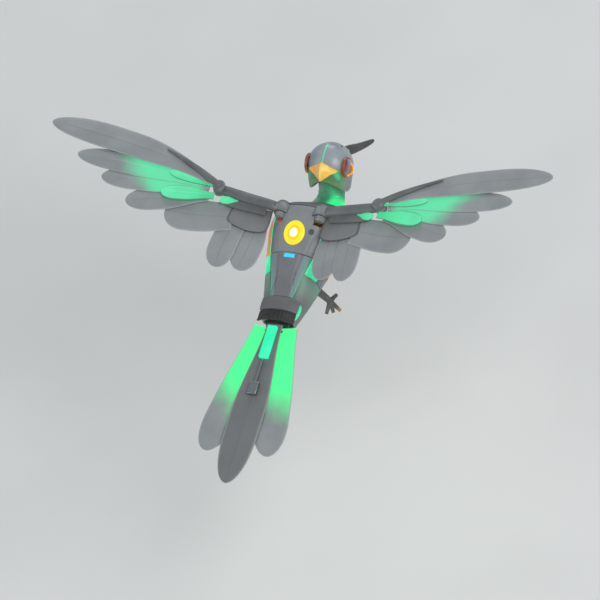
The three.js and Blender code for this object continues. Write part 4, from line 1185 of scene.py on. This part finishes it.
for side, sign in SIDES:
    wing, hand = f"{side}_wing", f"{side}_hand"
    seat, axis = [Vector((v.x * sign, v.y, v.z)) for v in (wrist, UP)]
    for name, shape in FEATHERS.items():
        vane = feather(wing_point, shape, CAMBER, BLADE, sign)
        node = f"{side}_{name}"
        material = wing_lit if name in LIT else covert_grey if name == "arm_covert" else feather_grey
        body = hand if name in HAND else wing
        piece(node + "_vane", vane, material, body, [node], VANE_SHARP)
    for name, shape in HAND_COVERTS.items():
        vane = feather(wing_point, shape, THIN_CAMBER, BLADE, sign)
        covers = [f"{side}_hand_covert"] if name != "spar_glint" else []
        piece(f"{side}_{name}", vane, covert_green, hand, covers, VANE_SHARP)
    web = feather(lowered(WEB_DROP), WEB, THIN_CAMBER, 1, sign)
    piece(f"{side}_wrist_web", web, covert_green, wing, sharp=VANE_SHARP)
    refined(wing + "_arm", arm_grey, wing, 0.25)
    fairing = [(s, t, chord + FAIRING, n, thick + FAIRING) for s, t, chord, n, thick in ARM]
    piece(f"{side}_arm_fairing", spar(fairing, sign), arm_grey, wing, [wing + "_arm"])
    skin = feather(lowered(SKIN_DROP), ARM_SKIN, THIN_CAMBER, 1, sign)
    piece(f"{side}_arm_skin", skin, arm_skin, wing, sharp=VANE_SHARP)
    piece(f"{side}_wrist_seat", turned(SEAT, seat, axis), arm_grey, wing)
    piece(f"{side}_hand_fairing", spar(HAND_SPAR, sign), arm_grey, hand, [hand + "_spar"])
    piece(f"{side}_wrist_cap", turned(CAP, seat, axis), arm_grey, hand)
    piece(f"{side}_wrist_pin", turned(PIN, seat, axis, 24), steel, hand)


# ---------------------------------------------------------------- tail
TAIL, TAIL_BLADE = Vector((0, 112, 42)), 1.4
DROOP = math.radians(6.5)
to_tail = Matrix.Translation(TAIL) @ Matrix.Rotation(-DROOP, 4, "X")
SHADE_SPOT = (0, 0)  # the wing map spot with the deepest painted shade
CENTRE_VANE = ((0, 12.8), (0, 100), (0, 212), 20, 0.45, -3.4 / LAYER)


# Tail vanes sit on the shade spot of the wing map, so a feather_paint material gives them its painted shade
# all over.
def tail_vane(name, shape, material, body):
    vane = feather(lambda a, b, n: to_tail @ Vector((a, b, n)), shape, THIN_CAMBER, TAIL_BLADE, 1, SHADE_SPOT)
    piece(name + "_vane", vane, material, body, [name], VANE_SHARP)


for side, sign in SIDES:
    fan_shape = ((sign * 11.5, 15.6), (sign * 23, 95), (sign * 38, 173), 20, 0.75, sign * 0.9 / LAYER)
    tail_vane(side + "_tail_feather", fan_shape, tail_lit, side + "_fan")
    refined(f"{side}_leg", leg_grey, f"{side}_leg", 0.2)
tail_vane("centre_tail_feather", CENTRE_VANE, tail_grey, "tail")
refined("tail_hub", dark_grey, "tail", 0.3)
refined("tail_light", tail_bar, "tail", 0.9)
refined("fan_slider", steel, "fan_slider", 0.5)

# ---------------------------------------------------------------- floor, light and camera
VIEW_WIDTH = 660  # millimetres across the view at the object
RIGHT = Vector((-0.9145, -0.3074, -0.2628)).normalized()
TOWARD = Vector((-0.39, 0.5, 0.773)).normalized()
UPWARD = TOWARD.cross(RIGHT).normalized()
TOWARD = RIGHT.cross(UPWARD).normalized()
AIM = (Vector((0, 0, 86)) - UPWARD * 99) * MM
DISTANCE, SENSOR = 30.0, 36
FLOOR_Z, FLOOR_REACH = -0.3, 12

camera = linked("camera", bpy.data.cameras.new("camera"))
camera.data.sensor_width = SENSOR
camera.data.lens = SENSOR * DISTANCE / (VIEW_WIDTH * MM)
camera.data.clip_start, camera.data.clip_end = 0.05, 100
turn = Matrix((RIGHT, UPWARD, TOWARD)).transposed().to_4x4()
camera.matrix_world = Matrix.Translation(AIM + TOWARD * DISTANCE) @ turn
bpy.context.scene.camera = camera

floor_mesh = bpy.data.meshes.new("floor")
corners = [(a * FLOOR_REACH, b * FLOOR_REACH, FLOOR_Z) for a, b in ((-1, -1), (1, -1), (1, 1), (-1, 1))]
floor_mesh.from_pydata(corners, [], [(0, 1, 2, 3)])
floor = linked("floor", floor_mesh)
paint = Paint("floor_paper")
tone = paint.blend(paint.cloud(3, 3, 0.3, 0.7), (222, 222, 220), (228, 228, 226))
floor_mesh.materials.append(paint.set(base=tone, rough=0.9))
bpy.context.scene.view_settings.view_transform = "Standard"

world = bpy.data.worlds.new("studio")
bpy.context.scene.world = world
world.use_nodes = True
sky = world.node_tree.nodes["Background"].inputs
sky[0].default_value, sky[1].default_value = (0.9, 0.95, 1.0, 1), 0.35
LIT_SPOT = Vector((0, 0.05, 0.05))


def area_light(name, place, size, power, tint=(1, 1, 1)):
    light = linked(name, bpy.data.lights.new(name, "AREA"))
    light.data.size, light.data.energy, light.data.color = size, power, tint
    light.location = place
    light.rotation_mode = "QUATERNION"
    light.rotation_quaternion = (Vector(place) - LIT_SPOT).to_track_quat("Z", "Y")


area_light("key", (-1.6, 0.6, 2.0), 1.4, 34)
area_light("fill", (1.8, 1.2, 1.4), 1.8, 14, (0.92, 0.97, 1.0))
area_light("rim", (0.4, -2.2, 1.2), 1.2, 16, (0.95, 0.98, 1.0))
area_light("under", (0.0, 0.8, -0.25), 1.0, 2.5)
